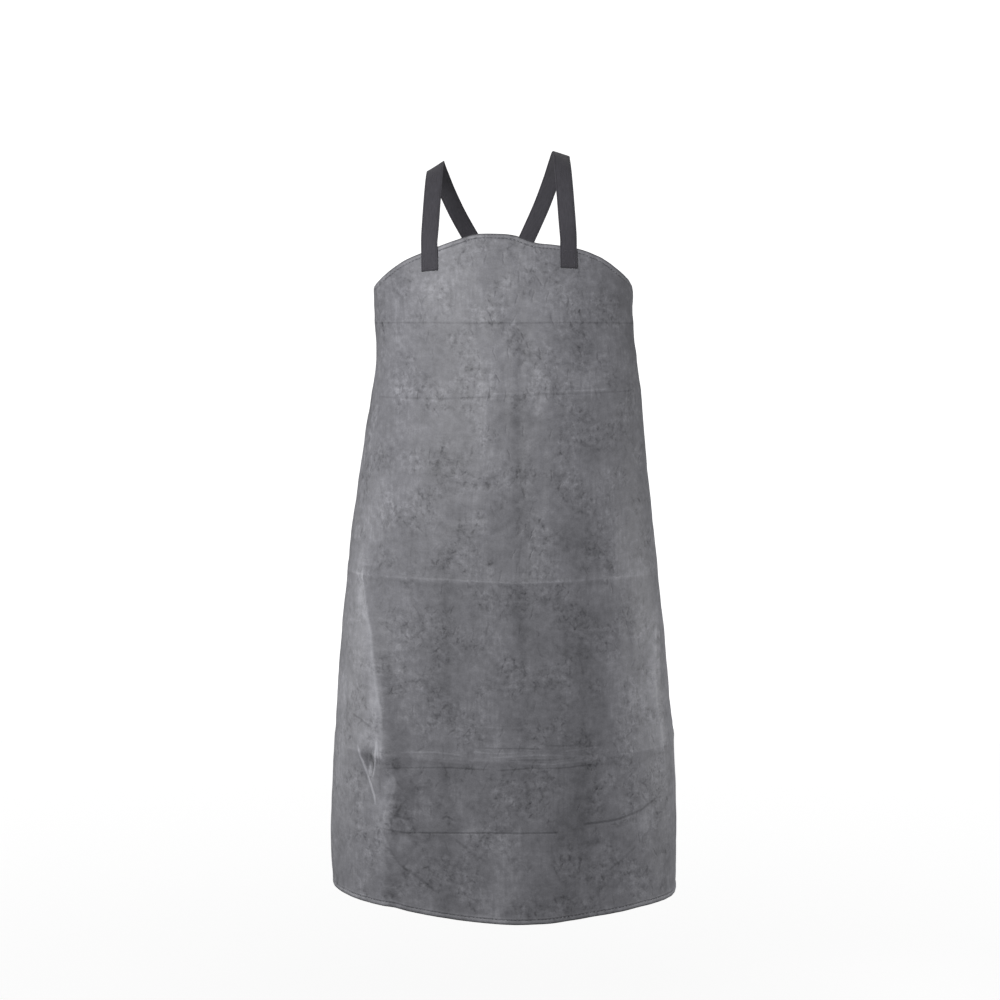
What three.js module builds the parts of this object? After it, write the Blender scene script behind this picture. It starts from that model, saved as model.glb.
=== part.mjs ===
// A heavy work apron as it hangs when worn: one sheet of coated cloth with its edges turned in
// and stitched, carried by two webbing straps that run from the bib over the shoulders, cross
// behind and end at the waist corners.
// Millimetres, +Z up. The apron faces -Y, its left side in this view is -X, and the origin lies
// midway between the places where the two straps cross the shoulders.
import * as THREE from 'three';

// Cut of the sheet
const panel_width = 914; // across the waist and the bottom, round the sides
const panel_length = 1270; // down the middle
const panel_wall = 2;
const bib_width = 610;
const bib_drop = 100; // bib corners below the middle of the top edge
const armhole_depth = 350; // waist corners below the middle of the top edge
const bottom_sweep = 25; // how far the bottom edge rises from its lowest point
const hem_width = 12; // turned in behind every edge

// Form that the sheet hangs over
const drape_width = 652;
const drape_front = 212; // deepest point in front of the shoulder line
const drape_back = 150;
const bib_below = 147; // middle of the top edge below the origin
const side_rise = 38; // how far the sides are drawn up round the form
const rise_fade = 380; // length over which that starts below the top edge

// Folds
const side_fold_height = 30;
const side_fold_outer = 78; // reach of the fold towards the edge
const side_fold_inner = 32; // reach of the fold towards the middle
const crease_fold_height = 8;
const crease_fold_reach = 24;
const middle_fold_height = 9;
const middle_fold_reach = 70;

// Straps
const strap_width = 32;
const strap_wall = 2;
const strap_lap = 41; // stretch of each end that is sewn to the sheet
const left_bib_across = 136;
const right_bib_across = 121;
const left_crest_across = 126;
const right_crest_across = 110;
const crest_step = 24; // right shoulder above the left
const left_crest_lean = 35; // degrees that the strap leans outwards on the shoulder
const right_crest_lean = 17;
const strap_back = 142; // crossing behind the origin
const strap_cross = 230; // crossing below the origin
const waist_below = 30; // strap middle below the waist corner, along the side edge
const waist_slant = 40; // degrees below level at which the strap meets the side edge
const leave_length = 14; // straight stretch of a strap past the edge of the sheet

// Clearances between pieces that touch
const piece_gap = 0.3;
const strap_gap = 0.4;
const cross_gap = 1;

// Mesh steps
const column_stops = [
  // places across the sheet, as shares of the named width, and the steps from each to the next
  { width: 'inner', share: -1, steps: 8 },
  { width: 'bib', share: -1, steps: 12 },
  { width: 'bib', share: -0.54, steps: 18 },
  { width: 'bib', share: 1, steps: 8 },
  { width: 'inner', share: 1, steps: 0 },
];
const row_steps = 32;
const turn_steps = 150; // angle steps from the front of a section round to its back
const turn_limit = 2.7; // radians
const fall_steps = 400;
const strap_steps = 4; // between two points of a strap's route
const lap_shares = [1, 0.66, 0.33, 0]; // points of that route on each sewn stretch
const facing_reach = 1.5; // step over which a direction is measured
const turn_reach = 0.01; // the same as an angle
const fold_crown = 1.35; // exponent of a fold's section, lower is sharper

// Sections of the form: level down the middle as a share of panel_length, half width, front and
// back as shares of drape_width / 2, drape_front and drape_back, squareness as the exponent of
// the rounded outline, and shift to one side as a share of drape_width
const sections = [
  { level: -0.08, half: 0.70, front: 0.49, back: 0.80, square: 2.3, shift: 0 },
  { level: -0.038, half: 0.72, front: 0.528, back: 0.80, square: 2.3, shift: 0 },
  { level: 0.073, half: 0.742, front: 0.66, back: 0.80, square: 2.3, shift: 0.002 },
  { level: 0.126, half: 0.737, front: 0.717, back: 0.80, square: 2.3, shift: 0.004 },
  { level: 0.184, half: 0.75, front: 0.792, back: 0.833, square: 2.3, shift: 0.012 },
  { level: 0.23, half: 0.772, front: 0.858, back: 0.867, square: 2.3, shift: 0.011 },
  { level: 0.321, half: 0.815, front: 0.943, back: 0.933, square: 2.35, shift: 0.005 },
  { level: 0.396, half: 0.851, front: 0.981, back: 1, square: 2.4, shift: 0.002 },
  { level: 0.524, half: 0.9, front: 1, back: 1, square: 2.5, shift: 0.002 },
  { level: 0.614, half: 0.936, front: 0.991, back: 1, square: 2.55, shift: 0.003 },
  { level: 0.703, half: 0.959, front: 0.976, back: 1, square: 2.6, shift: 0.004 },
  { level: 0.793, half: 0.988, front: 0.958, back: 1, square: 2.6, shift: 0.005 },
  { level: 0.883, half: 0.999, front: 0.947, back: 1, square: 2.6, shift: 0.003 },
  { level: 0.973, half: 0.988, front: 0.94, back: 1, square: 2.6, shift: 0.007 },
  { level: 1.08, half: 0.98, front: 0.935, back: 1, square: 2.6, shift: 0.008 },
];

// Top edge of the bib: across as a share of bib_width / 2, drop as a share of bib_drop
const bib_edge = [
  { across: -1, drop: 1 },
  { across: -0.9, drop: 0.925 },
  { across: -0.84, drop: 0.85 },
  { across: -0.75, drop: 0.715 },
  { across: -0.6, drop: 0.475 },
  { across: -0.45, drop: 0.3 },
  { across: -0.3, drop: 0.135 },
  { across: -0.15, drop: 0.005 },
  { across: -0.05, drop: 0 },
  { across: 0, drop: 0.005 },
  { across: 0.07, drop: 0.03 },
  { across: 0.15, drop: 0.125 },
  { across: 0.22, drop: 0.185 },
  { across: 0.3, drop: 0.205 },
  { across: 0.45, drop: 0.27 },
  { across: 0.6, drop: 0.42 },
  { across: 0.75, drop: 0.67 },
  { across: 0.85, drop: 0.81 },
  { across: 0.92, drop: 0.9 },
  { across: 1, drop: 1 },
];

// Armhole edge: along it, out from the bib corner to the waist corner and down between them,
// all as shares
const armhole_edge = [
  { along: 0, out: 0, drop: 0 },
  { along: 0.08, out: 0.086, drop: 0.09 },
  { along: 0.21, out: 0.138, drop: 0.24 },
  { along: 0.38, out: 0.2, drop: 0.44 },
  { along: 0.56, out: 0.31, drop: 0.65 },
  { along: 0.76, out: 0.56, drop: 0.85 },
  { along: 1, out: 1, drop: 1 },
];

// Bottom edge: across as a share of panel_width / 2, rise as a share of bottom_sweep
const bottom_edge = [
  { across: -1, rise: 0.75 },
  { across: -0.8, rise: 0.84 },
  { across: -0.68, rise: 0.93 },
  { across: -0.46, rise: 0.96 },
  { across: -0.38, rise: 0.64 },
  { across: -0.29, rise: 0.42 },
  { across: -0.13, rise: 0.16 },
  { across: 0.05, rise: 0.01 },
  { across: 0.14, rise: 0 },
  { across: 0.27, rise: 0.13 },
  { across: 0.4, rise: 0.3 },
  { across: 0.57, rise: 0.43 },
  { across: 0.67, rise: 0.38 },
  { across: 0.77, rise: 0.27 },
  { across: 1, rise: 0.15 },
];

// Course of each fold: level as a share of panel_length, across as a share of panel_width / 2,
// height as a share of the fold's own height
const side_fold = [
  { level: 0.4, across: -0.67, height: 0 },
  { level: 0.525, across: -0.585, height: 0.3 },
  { level: 0.598, across: -0.524, height: 0.62 },
  { level: 0.67, across: -0.493, height: 0.85 },
  { level: 0.735, across: -0.471, height: 1 },
  { level: 0.8, across: -0.432, height: 1 },
  { level: 0.86, across: -0.45, height: 0.9 },
  { level: 1.02, across: -0.466, height: 0.8 },
];
const crease_fold = [
  { level: 0.53, across: 0.735, height: 0 },
  { level: 0.591, across: 0.711, height: 0.6 },
  { level: 0.653, across: 0.675, height: 1 },
  { level: 0.706, across: 0.685, height: 1 },
  { level: 0.762, across: 0.715, height: 0.8 },
  { level: 0.811, across: 0.727, height: 0.4 },
  { level: 0.9, across: 0.745, height: 0 },
];
const middle_fold = [
  { level: 0.6, across: 0.02, height: 0 },
  { level: 0.75, across: 0.03, height: 0.35 },
  { level: 0.9, across: 0.045, height: 0.8 },
  { level: 1.02, across: 0.05, height: 1 },
];

// Free run of a strap from the bib to the shoulder: shares of the way back and of the way up,
// and the direction that its face looks in, outwards along the strap's own side, back and up.
// It lies slantwise over the shoulder, so it keeps its width as seen from the front.
const chest_run = [
  { back: 0.08, up: 0.26, facing: [0, -0.97, 0.24] },
  { back: 0.2, up: 0.53, facing: [0, -0.88, 0.47] },
  { back: 0.41, up: 0.78, facing: [0.12, -0.68, 0.72] },
  { back: 0.69, up: 0.94, facing: [0.35, -0.36, 0.86] },
];

// Run behind, from the shoulder to the crossing: across as a share of the crest's own distance,
// back as a share of strap_back, down as a share of the fall from the crest to the crossing
const blade_run = [
  { across: 0.94, back: 0.31, down: 0.05, facing: [0.42, 0.36, 0.83] },
  { across: 0.85, back: 0.58, down: 0.17, facing: [0.32, 0.68, 0.66] },
  { across: 0.69, back: 0.79, down: 0.36, facing: [0.2, 0.9, 0.38] },
  { across: 0.47, back: 0.93, down: 0.58, facing: [0.1, 0.97, 0.2] },
  { across: 0.24, back: 0.985, down: 0.8, facing: [0.04, 0.99, 0.08] },
  { across: 0, back: 1, down: 1, facing: [0, 1, 0.02] },
];

// Run from the crossing to the opposite waist corner: shares of the way across, forwards and down
const waist_run = [
  { across: 0.25, forward: 0.04, down: 0.3, facing: [-0.12, 0.99, 0] },
  { across: 0.52, forward: 0.17, down: 0.58, facing: [-0.27, 0.96, 0] },
  { across: 0.78, forward: 0.47, down: 0.82, facing: [-0.52, 0.85, 0] },
];

const half_panel = panel_width / 2;
const half_inner = half_panel - hem_width;
const half_bib = bib_width / 2;
const straps = [
  {
    name: 'strap_left',
    side: -1,
    bib_across: left_bib_across,
    crest_across: left_crest_across,
    crest_up: -crest_step / 2,
    lean: THREE.MathUtils.degToRad(left_crest_lean),
    layer: 1,
  },
  {
    name: 'strap_right',
    side: 1,
    bib_across: right_bib_across,
    crest_across: right_crest_across,
    crest_up: crest_step / 2,
    lean: THREE.MathUtils.degToRad(right_crest_lean),
    layer: 0,
  },
];

// Reads a column of a table at any place along it, by a smooth curve that never overshoots
function read(rows, key, column, at) {
  const last = rows.length - 1;
  if (at <= rows[0][key]) return rows[0][column];
  if (at >= rows[last][key]) return rows[last][column];
  const slope = (k) => (rows[k + 1][column] - rows[k][column]) / (rows[k + 1][key] - rows[k][key]);
  const tangent = (k) => {
    if (k === 0) return slope(0);
    if (k === last) return slope(last - 1);
    const before = slope(k - 1);
    const after = slope(k);
    return before * after <= 0 ? 0 : (2 * before * after) / (before + after);
  };
  let i = 0;
  while (at > rows[i + 1][key]) i += 1;
  const span = rows[i + 1][key] - rows[i][key];
  const t = (at - rows[i][key]) / span;
  const start = rows[i][column];
  const rise = rows[i + 1][column] - start;
  const pull = tangent(i) * span;
  const push = tangent(i + 1) * span;
  return start + t * pull + t * t * (3 * rise - 2 * pull - push) + t * t * t * (pull + push - 2 * rise);
}

// Height of each level down the middle of the sheet, whose length stays true on the form's slope
const falls = [];
const fall_from = sections[0].level;
const fall_span = sections[sections.length - 1].level - fall_from;
for (let k = 0; k <= fall_steps; k += 1) {
  const level = fall_from + (fall_span * k) / fall_steps;
  const front = drape_front * read(sections, 'level', 'front', level);
  const run = k === 0 ? 0 : (fall_span * panel_length) / fall_steps;
  const before = falls[k - 1] ?? { fall: 0, front };
  const fall = before.fall + Math.sqrt(Math.max(run ** 2 - (front - before.front) ** 2, 0));
  falls.push({ level, front, fall });
}

function fallAt(level) {
  const place = THREE.MathUtils.clamp(((level - fall_from) / fall_span) * fall_steps, 0, fall_steps);
  const k = Math.min(Math.floor(place), fall_steps - 1);
  return THREE.MathUtils.lerp(falls[k].fall, falls[k + 1].fall, place - k);
}

function heightAt(level) {
  return fallAt(0) - fallAt(level) - bib_below;
}

// One level of the form, with the length round it from the front to each angle
function sectionAt(level) {
  const form = {
    half: (drape_width / 2) * read(sections, 'level', 'half', level),
    front: drape_front * read(sections, 'level', 'front', level),
    back: drape_back * read(sections, 'level', 'back', level),
    square: read(sections, 'level', 'square', level),
    shift: drape_width * read(sections, 'level', 'shift', level),
  };
  form.lengths = [0];
  let before = outline(form, 0);
  for (let k = 1; k <= turn_steps; k += 1) {
    const here = outline(form, (turn_limit * k) / turn_steps);
    form.lengths.push(form.lengths[k - 1] + here.distanceTo(before));
    before = here;
  }
  return form;
}

function outline(form, angle) {
  const sin = Math.sin(angle);
  const cos = Math.cos(angle);
  const depth = cos > 0 ? form.front : form.back;
  const sum = Math.abs(sin / form.half) ** form.square + Math.abs(cos / depth) ** form.square;
  const reach = sum ** (-1 / form.square);
  return new THREE.Vector2(reach * sin + form.shift, -reach * cos);
}

function angleAt(form, across) {
  const length = Math.abs(across);
  let k = 0;
  while (k < turn_steps - 1 && form.lengths[k + 1] < length) k += 1;
  const part = (length - form.lengths[k]) / (form.lengths[k + 1] - form.lengths[k]);
  return (Math.sign(across) * turn_limit * (k + part)) / turn_steps;
}

// Outward rise of one fold at a place on the flat sheet
function foldAt(course, height, left_reach, right_reach, across, down) {
  const level = down / panel_length;
  const away = across - half_panel * read(course, 'level', 'across', level);
  const reach = away < 0 ? left_reach : right_reach;
  return height * read(course, 'level', 'height', level) * Math.exp(-(Math.abs(away / reach) ** fold_crown));
}

// Places a point of the flat sheet on the form: across from the middle, down from the top edge
function sheetPoint(across, down) {
  const fade = 1 - Math.exp(-Math.max(down, 0) / rise_fade);
  const level = (down - side_rise * (across / half_panel) ** 2 * fade) / panel_length;
  const form = sectionAt(level);
  const angle = angleAt(form, across);
  const spot = outline(form, angle);
  const along = outline(form, angle + turn_reach).sub(outline(form, angle - turn_reach)).normalize();
  const lift =
    foldAt(side_fold, side_fold_height, side_fold_outer, side_fold_inner, across, down) +
    foldAt(crease_fold, crease_fold_height, crease_fold_reach, crease_fold_reach, across, down) +
    foldAt(middle_fold, middle_fold_height, middle_fold_reach, middle_fold_reach, across, down);
  return new THREE.Vector3(spot.x + along.y * lift, spot.y - along.x * lift, heightAt(level));
}

// Direction that the face of the sheet looks in
function sheetFacing(across, down) {
  const sideways = sheetPoint(across + facing_reach, down).sub(sheetPoint(across - facing_reach, down));
  const downwards = sheetPoint(across, down + facing_reach).sub(sheetPoint(across, down - facing_reach));
  return downwards.cross(sideways).normalize();
}

// A place off the face of the sheet by some distance, negative behind it
function offSheet(across, down, distance) {
  return sheetPoint(across, down).addScaledVector(sheetFacing(across, down), distance);
}

// Cut edges on the flat sheet
function bibDrop(across) {
  return bib_drop * read(bib_edge, 'across', 'drop', across / half_bib);
}

// The column next to each side edge meets the armhole where it is a hem's width inside
const [before_corner, waist_corner] = armhole_edge.slice(-2);
const corner_out = (waist_corner.out - before_corner.out) * (half_panel - half_bib);
const corner_along = 1 - (hem_width * (waist_corner.along - before_corner.along)) / corner_out;

function topEdge(column) {
  const side = Math.sign(column);
  const distance = Math.abs(column);
  if (distance <= half_bib) return new THREE.Vector2(column, bibDrop(column));
  const along =
    distance < half_inner
      ? (corner_along * (distance - half_bib)) / (half_inner - half_bib)
      : THREE.MathUtils.lerp(corner_along, 1, (distance - half_inner) / hem_width);
  const out = read(armhole_edge, 'along', 'out', along);
  const drop = read(armhole_edge, 'along', 'drop', along);
  return new THREE.Vector2(
    side * THREE.MathUtils.lerp(half_bib, half_panel, out),
    THREE.MathUtils.lerp(bib_drop, armhole_depth, drop),
  );
}

function bottomEdge(column) {
  const rise = bottom_sweep * read(bottom_edge, 'across', 'rise', column / half_panel);
  return new THREE.Vector2(column, panel_length - rise);
}

// The top edge moved in by the hem, and square to the side edge at the waist corner
function insideTopEdge(column) {
  const left = topEdge(Math.max(column - facing_reach, -half_panel));
  const right = topEdge(Math.min(column + facing_reach, half_panel));
  const along = right.sub(left).normalize();
  const inward = new THREE.Vector2(-along.y, along.x);
  const corner = THREE.MathUtils.smoothstep(Math.abs(column), half_inner - hem_width, half_inner);
  inward.lerp(new THREE.Vector2(0, 1), corner).normalize();
  return topEdge(column).addScaledVector(inward, hem_width);
}

// Flat grid of the sheet, with one step of the hem's width along every edge
const stops = column_stops.map((row) => row.share * (row.width === 'bib' ? half_bib : half_inner));
const columns = [-half_panel];
column_stops.forEach((row, index) => {
  for (let k = 0; k < row.steps; k += 1) {
    columns.push(THREE.MathUtils.lerp(stops[index], stops[index + 1], k / row.steps));
  }
});
columns.push(half_inner, half_panel);

const grid = [columns.map((column) => topEdge(column))];
for (let k = 0; k <= row_steps; k += 1) {
  grid.push(
    columns.map((column) => {
      const bottom = bottomEdge(column).sub(new THREE.Vector2(0, hem_width));
      return insideTopEdge(column).lerp(bottom, k / row_steps);
    }),
  );
}
grid.push(columns.map((column) => bottomEdge(column)));

// Closed slab between two matching grids of points, the front one with its rows running
// downwards and its columns to the right as it is looked at
function slab(name, front, back, finish) {
  const rows = front.length;
  const across = front[0].length;
  const positions = [front, back].flat(2).flatMap((spot) => [spot.x, spot.y, spot.z]);
  const faces = [];
  const quad = (a, b, c, d) => faces.push(a, b, c, a, c, d);
  const near = (row, column) => row * across + column;
  const far = (row, column) => (rows + row) * across + column;
  for (let row = 0; row < rows - 1; row += 1) {
    for (let column = 0; column < across - 1; column += 1) {
      quad(near(row, column), near(row + 1, column), near(row + 1, column + 1), near(row, column + 1));
      quad(far(row, column), far(row, column + 1), far(row + 1, column + 1), far(row + 1, column));
    }
  }
  for (let column = 0; column < across - 1; column += 1) {
    quad(near(0, column), near(0, column + 1), far(0, column + 1), far(0, column));
    quad(near(rows - 1, column + 1), near(rows - 1, column), far(rows - 1, column), far(rows - 1, column + 1));
  }
  for (let row = 0; row < rows - 1; row += 1) {
    quad(near(row + 1, 0), near(row, 0), far(row, 0), far(row + 1, 0));
    quad(near(row, across - 1), near(row + 1, across - 1), far(row + 1, across - 1), far(row, across - 1));
  }
  const geometry = new THREE.BufferGeometry();
  geometry.setAttribute('position', new THREE.Float32BufferAttribute(positions, 3));
  geometry.setIndex(faces);
  geometry.computeVertexNormals();
  const mesh = new THREE.Mesh(geometry, new THREE.MeshStandardMaterial(finish));
  mesh.name = name;
  return mesh;
}

// A layer of the coated cloth over part of the flat grid, its face at some distance off the
// middle of the sheet
function clothLayer(name, flat, face) {
  const layer = (distance) => flat.map((line) => line.map((spot) => offSheet(spot.x, spot.y, distance)));
  const finish = { color: 0x76767b, roughness: 0.75, metalness: 0 };
  return slab(name, layer(face), layer(face - panel_wall), finish);
}

// A turned-in edge: a strip of the grid behind the sheet, drawn back from its neighbours at the
// ends that are named
function hem(name, row_range, column_range, free_ends) {
  const flat = grid
    .slice(row_range[0], row_range[1] + 1)
    .map((line) => line.slice(column_range[0], column_range[1] + 1).map((spot) => spot.clone()));
  const draw = (spot, next) => spot.addScaledVector(next.clone().sub(spot).normalize(), piece_gap);
  const last_row = flat.length - 1;
  const last_column = flat[0].length - 1;
  if (free_ends.includes('left')) flat.forEach((line) => draw(line[0], line[1]));
  if (free_ends.includes('right')) flat.forEach((line) => draw(line[last_column], line[last_column - 1]));
  if (free_ends.includes('top')) flat[0].forEach((spot, k) => draw(spot, flat[1][k]));
  if (free_ends.includes('bottom')) flat[last_row].forEach((spot, k) => draw(spot, flat[last_row - 1][k]));
  return clothLayer(name, flat, -panel_wall / 2 - piece_gap);
}

// Route of one strap from its end on the bib to its end at the opposite waist corner
function strapRoute(strap) {
  const route = [];
  const add = (spot, facing, slantwise = 0) => route.push({ spot, facing: facing.clone().normalize(), slantwise });
  const turned = (row) => new THREE.Vector3(strap.side * row.facing[0], row.facing[1], row.facing[2]);
  const off = panel_wall / 2 + strap_gap + strap_wall / 2;
  const addOnSheet = (across, down) => add(offSheet(across, down, off), sheetFacing(across, down));
  const mix = THREE.MathUtils.lerp;

  const across = strap.side * strap.bib_across;
  const edge = bibDrop(across);
  for (const share of lap_shares) addOnSheet(across, edge + strap_lap * share);
  addOnSheet(across, edge - leave_length);

  const bib = route[route.length - 1].spot;
  const crest = new THREE.Vector3(strap.side * strap.crest_across, 0, strap.crest_up);
  for (const row of chest_run) {
    const spot = new THREE.Vector3(mix(bib.x, crest.x, row.up), mix(bib.y, 0, row.back), mix(bib.z, crest.z, row.up));
    add(spot, turned(row), 1);
  }
  add(crest, new THREE.Vector3(strap.side * Math.sin(strap.lean), 0, Math.cos(strap.lean)), 1);

  const back = strap_back + strap.layer * (strap_wall + cross_gap);
  for (const row of blade_run) {
    const spot = new THREE.Vector3(crest.x * row.across, back * row.back, mix(crest.z, -strap_cross, row.down));
    add(spot, turned(row));
  }

  const slant = THREE.MathUtils.degToRad(waist_slant);
  const waistPlace = (run) => [
    -strap.side * (half_panel - Math.cos(slant) * run),
    armhole_depth + waist_below + Math.sin(slant) * run,
  ];
  const waist = offSheet(...waistPlace(-leave_length), off);
  for (const row of waist_run) {
    const spot = new THREE.Vector3(
      waist.x * row.across,
      mix(back, waist.y, row.forward),
      mix(-strap_cross, waist.z, row.down),
    );
    add(spot, turned(row));
  }
  addOnSheet(...waistPlace(-leave_length));
  for (const share of [...lap_shares].reverse()) addOnSheet(...waistPlace(strap_lap * share));
  return route;
}

function strapMesh(strap) {
  const route = strapRoute(strap);
  const curve = new THREE.CatmullRomCurve3(route.map((stop) => stop.spot));
  const count = (route.length - 1) * strap_steps;
  const front = [];
  const back = [];
  for (let k = 0; k <= count; k += 1) {
    const place = k / strap_steps;
    const stop = Math.min(Math.floor(place), route.length - 2);
    const facing = route[stop].facing.clone().lerp(route[stop + 1].facing, place - stop);
    const along = curve.getTangent(k / count);
    const sideways = facing.cross(along).normalize();
    const outward = along.clone().cross(sideways).normalize();
    const middle = curve.getPoint(k / count);
    const slantwise = THREE.MathUtils.lerp(route[stop].slantwise, route[stop + 1].slantwise, place - stop);
    const half_width = (strap_width / 2) * THREE.MathUtils.lerp(1, 1 / Math.abs(sideways.x), slantwise);
    const pair = [-half_width, half_width].map((half) => middle.clone().addScaledVector(sideways, half));
    front.push(pair.map((spot) => spot.clone().addScaledVector(outward, strap_wall / 2)));
    back.push(pair.map((spot) => spot.clone().addScaledVector(outward, -strap_wall / 2)));
  }
  return slab(strap.name, front, back, { color: 0x47464b, roughness: 0.9, metalness: 0 });
}

// Assembly
const bib_left = columns.indexOf(-half_bib);
const bib_right = columns.indexOf(half_bib);
const right_column = columns.length - 1;
const bottom_row = grid.length - 1;

const apron = new THREE.Group();
apron.add(
  clothLayer('apron_panel', grid, panel_wall / 2),
  hem('bib_hem', [0, 1], [bib_left, bib_right], ['left', 'right']),
  hem('armhole_hem_left', [0, 1], [0, bib_left], []),
  hem('armhole_hem_right', [0, 1], [bib_right, right_column], []),
  hem('side_hem_left', [1, bottom_row - 1], [0, 1], ['top', 'bottom']),
  hem('side_hem_right', [1, bottom_row - 1], [right_column - 1, right_column], ['top', 'bottom']),
  hem('bottom_hem', [bottom_row - 1, bottom_row], [0, right_column], []),
  ...straps.map(strapMesh),
);

export default apron;
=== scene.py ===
import bpy
import numpy as np
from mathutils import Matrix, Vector


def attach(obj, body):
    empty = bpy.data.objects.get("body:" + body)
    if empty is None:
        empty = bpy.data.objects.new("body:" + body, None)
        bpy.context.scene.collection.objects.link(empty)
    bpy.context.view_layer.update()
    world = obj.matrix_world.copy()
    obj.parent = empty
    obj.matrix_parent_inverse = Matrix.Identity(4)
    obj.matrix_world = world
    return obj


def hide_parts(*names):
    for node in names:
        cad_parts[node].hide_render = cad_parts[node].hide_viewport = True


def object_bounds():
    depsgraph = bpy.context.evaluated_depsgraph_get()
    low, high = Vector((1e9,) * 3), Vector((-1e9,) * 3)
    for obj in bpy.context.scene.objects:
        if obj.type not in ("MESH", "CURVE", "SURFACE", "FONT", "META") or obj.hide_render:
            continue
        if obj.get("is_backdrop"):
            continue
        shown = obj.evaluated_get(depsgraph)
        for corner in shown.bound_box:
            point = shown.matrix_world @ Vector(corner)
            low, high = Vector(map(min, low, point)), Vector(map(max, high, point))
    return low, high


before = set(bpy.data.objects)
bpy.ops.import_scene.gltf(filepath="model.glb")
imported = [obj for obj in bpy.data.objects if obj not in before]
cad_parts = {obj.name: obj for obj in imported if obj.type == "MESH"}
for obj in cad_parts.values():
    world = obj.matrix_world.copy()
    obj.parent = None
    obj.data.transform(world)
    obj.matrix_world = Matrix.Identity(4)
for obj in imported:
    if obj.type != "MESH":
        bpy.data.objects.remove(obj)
cad_box = [list(corner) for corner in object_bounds()]


# Coated cloth sheet
# The whole apron is one sheet of grey rubber-coated cloth, cut with a curved bib and two armholes.
# It hangs in soft folds round the body, keeps the fold lines of its packing, and is turned in and
# sewn down along every edge.
mm = 0.001

# Cut of the sheet
panel_width = 914 * mm
panel_length = 1270 * mm
panel_wall = 2 * mm
bib_width = 610 * mm
bib_drop = 100 * mm
armhole_depth = 350 * mm
bottom_sweep = 25 * mm
hem_width = 12 * mm

# The form that it hangs over, and how far the cloth rises towards its side edges
drape_width = 652 * mm
drape_front = 212 * mm
drape_back = 150 * mm
bib_below = 147 * mm
side_rise = 38 * mm
rise_fade = 380 * mm

# Fineness of the mesh and of the sums that lay the cloth on the form
cloth_step = 4.7 * mm
crease_step = 1.5 * mm
back_stride = 3
turn_steps = 160
turn_limit = 2.7
turn_reach = 0.01
fall_steps = 400
batch_size = 3000
facing_reach = 1.5 * mm
edge_reach = 10 * mm

# Rows of the mesh follow the cut edge at the top and run level from here down, later past the bib's
# corners than under the bib, and they follow the bottom edge again in the last stretch
even_level = 160 * mm
side_even_level = 630 * mm
corner_before = 60 * mm
corner_after = 35 * mm
bottom_zone = 120 * mm

# Sections of the form at levels down the sheet: its half width, its depth to the front and to the
# back, how square it is, and how far it stands to the side, as shares of the sizes above
sections = {
    "level": [-0.08, -0.038, 0.073, 0.126, 0.184, 0.23, 0.321, 0.396,
              0.524, 0.614, 0.703, 0.793, 0.883, 0.973, 1.08],
    "half": [0.70, 0.72, 0.742, 0.737, 0.75, 0.772, 0.815, 0.851,
             0.9, 0.936, 0.959, 0.988, 0.999, 0.988, 0.98],
    "front": [0.49, 0.528, 0.66, 0.717, 0.792, 0.858, 0.943, 0.981,
              1, 0.991, 0.976, 0.958, 0.947, 0.94, 0.935],
    "back": [0.80, 0.80, 0.80, 0.80, 0.833, 0.867, 0.933, 1, 1, 1, 1, 1, 1, 1, 1],
    "square": [2.3, 2.3, 2.3, 2.3, 2.3, 2.3, 2.35, 2.4, 2.5, 2.55, 2.6, 2.6, 2.6, 2.6, 2.6],
    "shift": [0, 0, 0.002, 0.004, 0.012, 0.011, 0.005, 0.002,
              0.002, 0.003, 0.004, 0.005, 0.003, 0.007, 0.008],
}

# The cut edges, as shares of the half widths and of the depths of the cuts
bib_edge = {
    "across": [-1, -0.9, -0.84, -0.75, -0.6, -0.45, -0.3, -0.15, -0.05, 0,
               0.07, 0.15, 0.22, 0.3, 0.45, 0.6, 0.75, 0.85, 0.92, 1],
    "drop": [1, 0.925, 0.85, 0.715, 0.475, 0.3, 0.135, 0.005, 0, 0.005,
             0.03, 0.125, 0.185, 0.205, 0.27, 0.42, 0.67, 0.81, 0.9, 1],
}
armhole_edge = {
    "along": [0, 0.08, 0.21, 0.38, 0.56, 0.76, 1],
    "out": [0, 0.086, 0.138, 0.2, 0.31, 0.56, 1],
    "drop": [0, 0.09, 0.24, 0.44, 0.65, 0.85, 1],
}
bottom_edge = {
    "across": [-1, -0.8, -0.68, -0.46, -0.38, -0.29, -0.13, 0.05, 0.14, 0.27, 0.4, 0.57, 0.67, 0.77, 1],
    "rise": [0.75, 0.84, 0.93, 0.96, 0.64, 0.42, 0.16, 0.01, 0, 0.13, 0.3, 0.43, 0.38, 0.27, 0.15],
}

# Folds that run down the cloth: how high each stands, how far it reaches to the left and right,
# and its course as shares of the panel's length and half width
fold_crown = 1.35
folds = [
    {
        "height": 30 * mm, "left": 78 * mm, "right": 32 * mm,
        "level": [0.4, 0.525, 0.598, 0.67, 0.735, 0.8, 0.86, 1.02],
        "across": [-0.67, -0.585, -0.524, -0.493, -0.471, -0.432, -0.45, -0.466],
        "rise": [0, 0.3, 0.62, 0.85, 1, 1, 0.9, 0.8],
    },
    {
        "height": 8 * mm, "left": 24 * mm, "right": 24 * mm,
        "level": [0.53, 0.591, 0.653, 0.706, 0.762, 0.811, 0.9],
        "across": [0.735, 0.711, 0.675, 0.685, 0.715, 0.727, 0.745],
        "rise": [0, 0.6, 1, 1, 0.8, 0.4, 0],
    },
    {
        "height": 9 * mm, "left": 70 * mm, "right": 70 * mm,
        "level": [0.6, 0.75, 0.9, 1.02],
        "across": [0.02, 0.03, 0.045, 0.05],
        "rise": [0, 0.35, 0.8, 1],
    },
]

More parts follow.
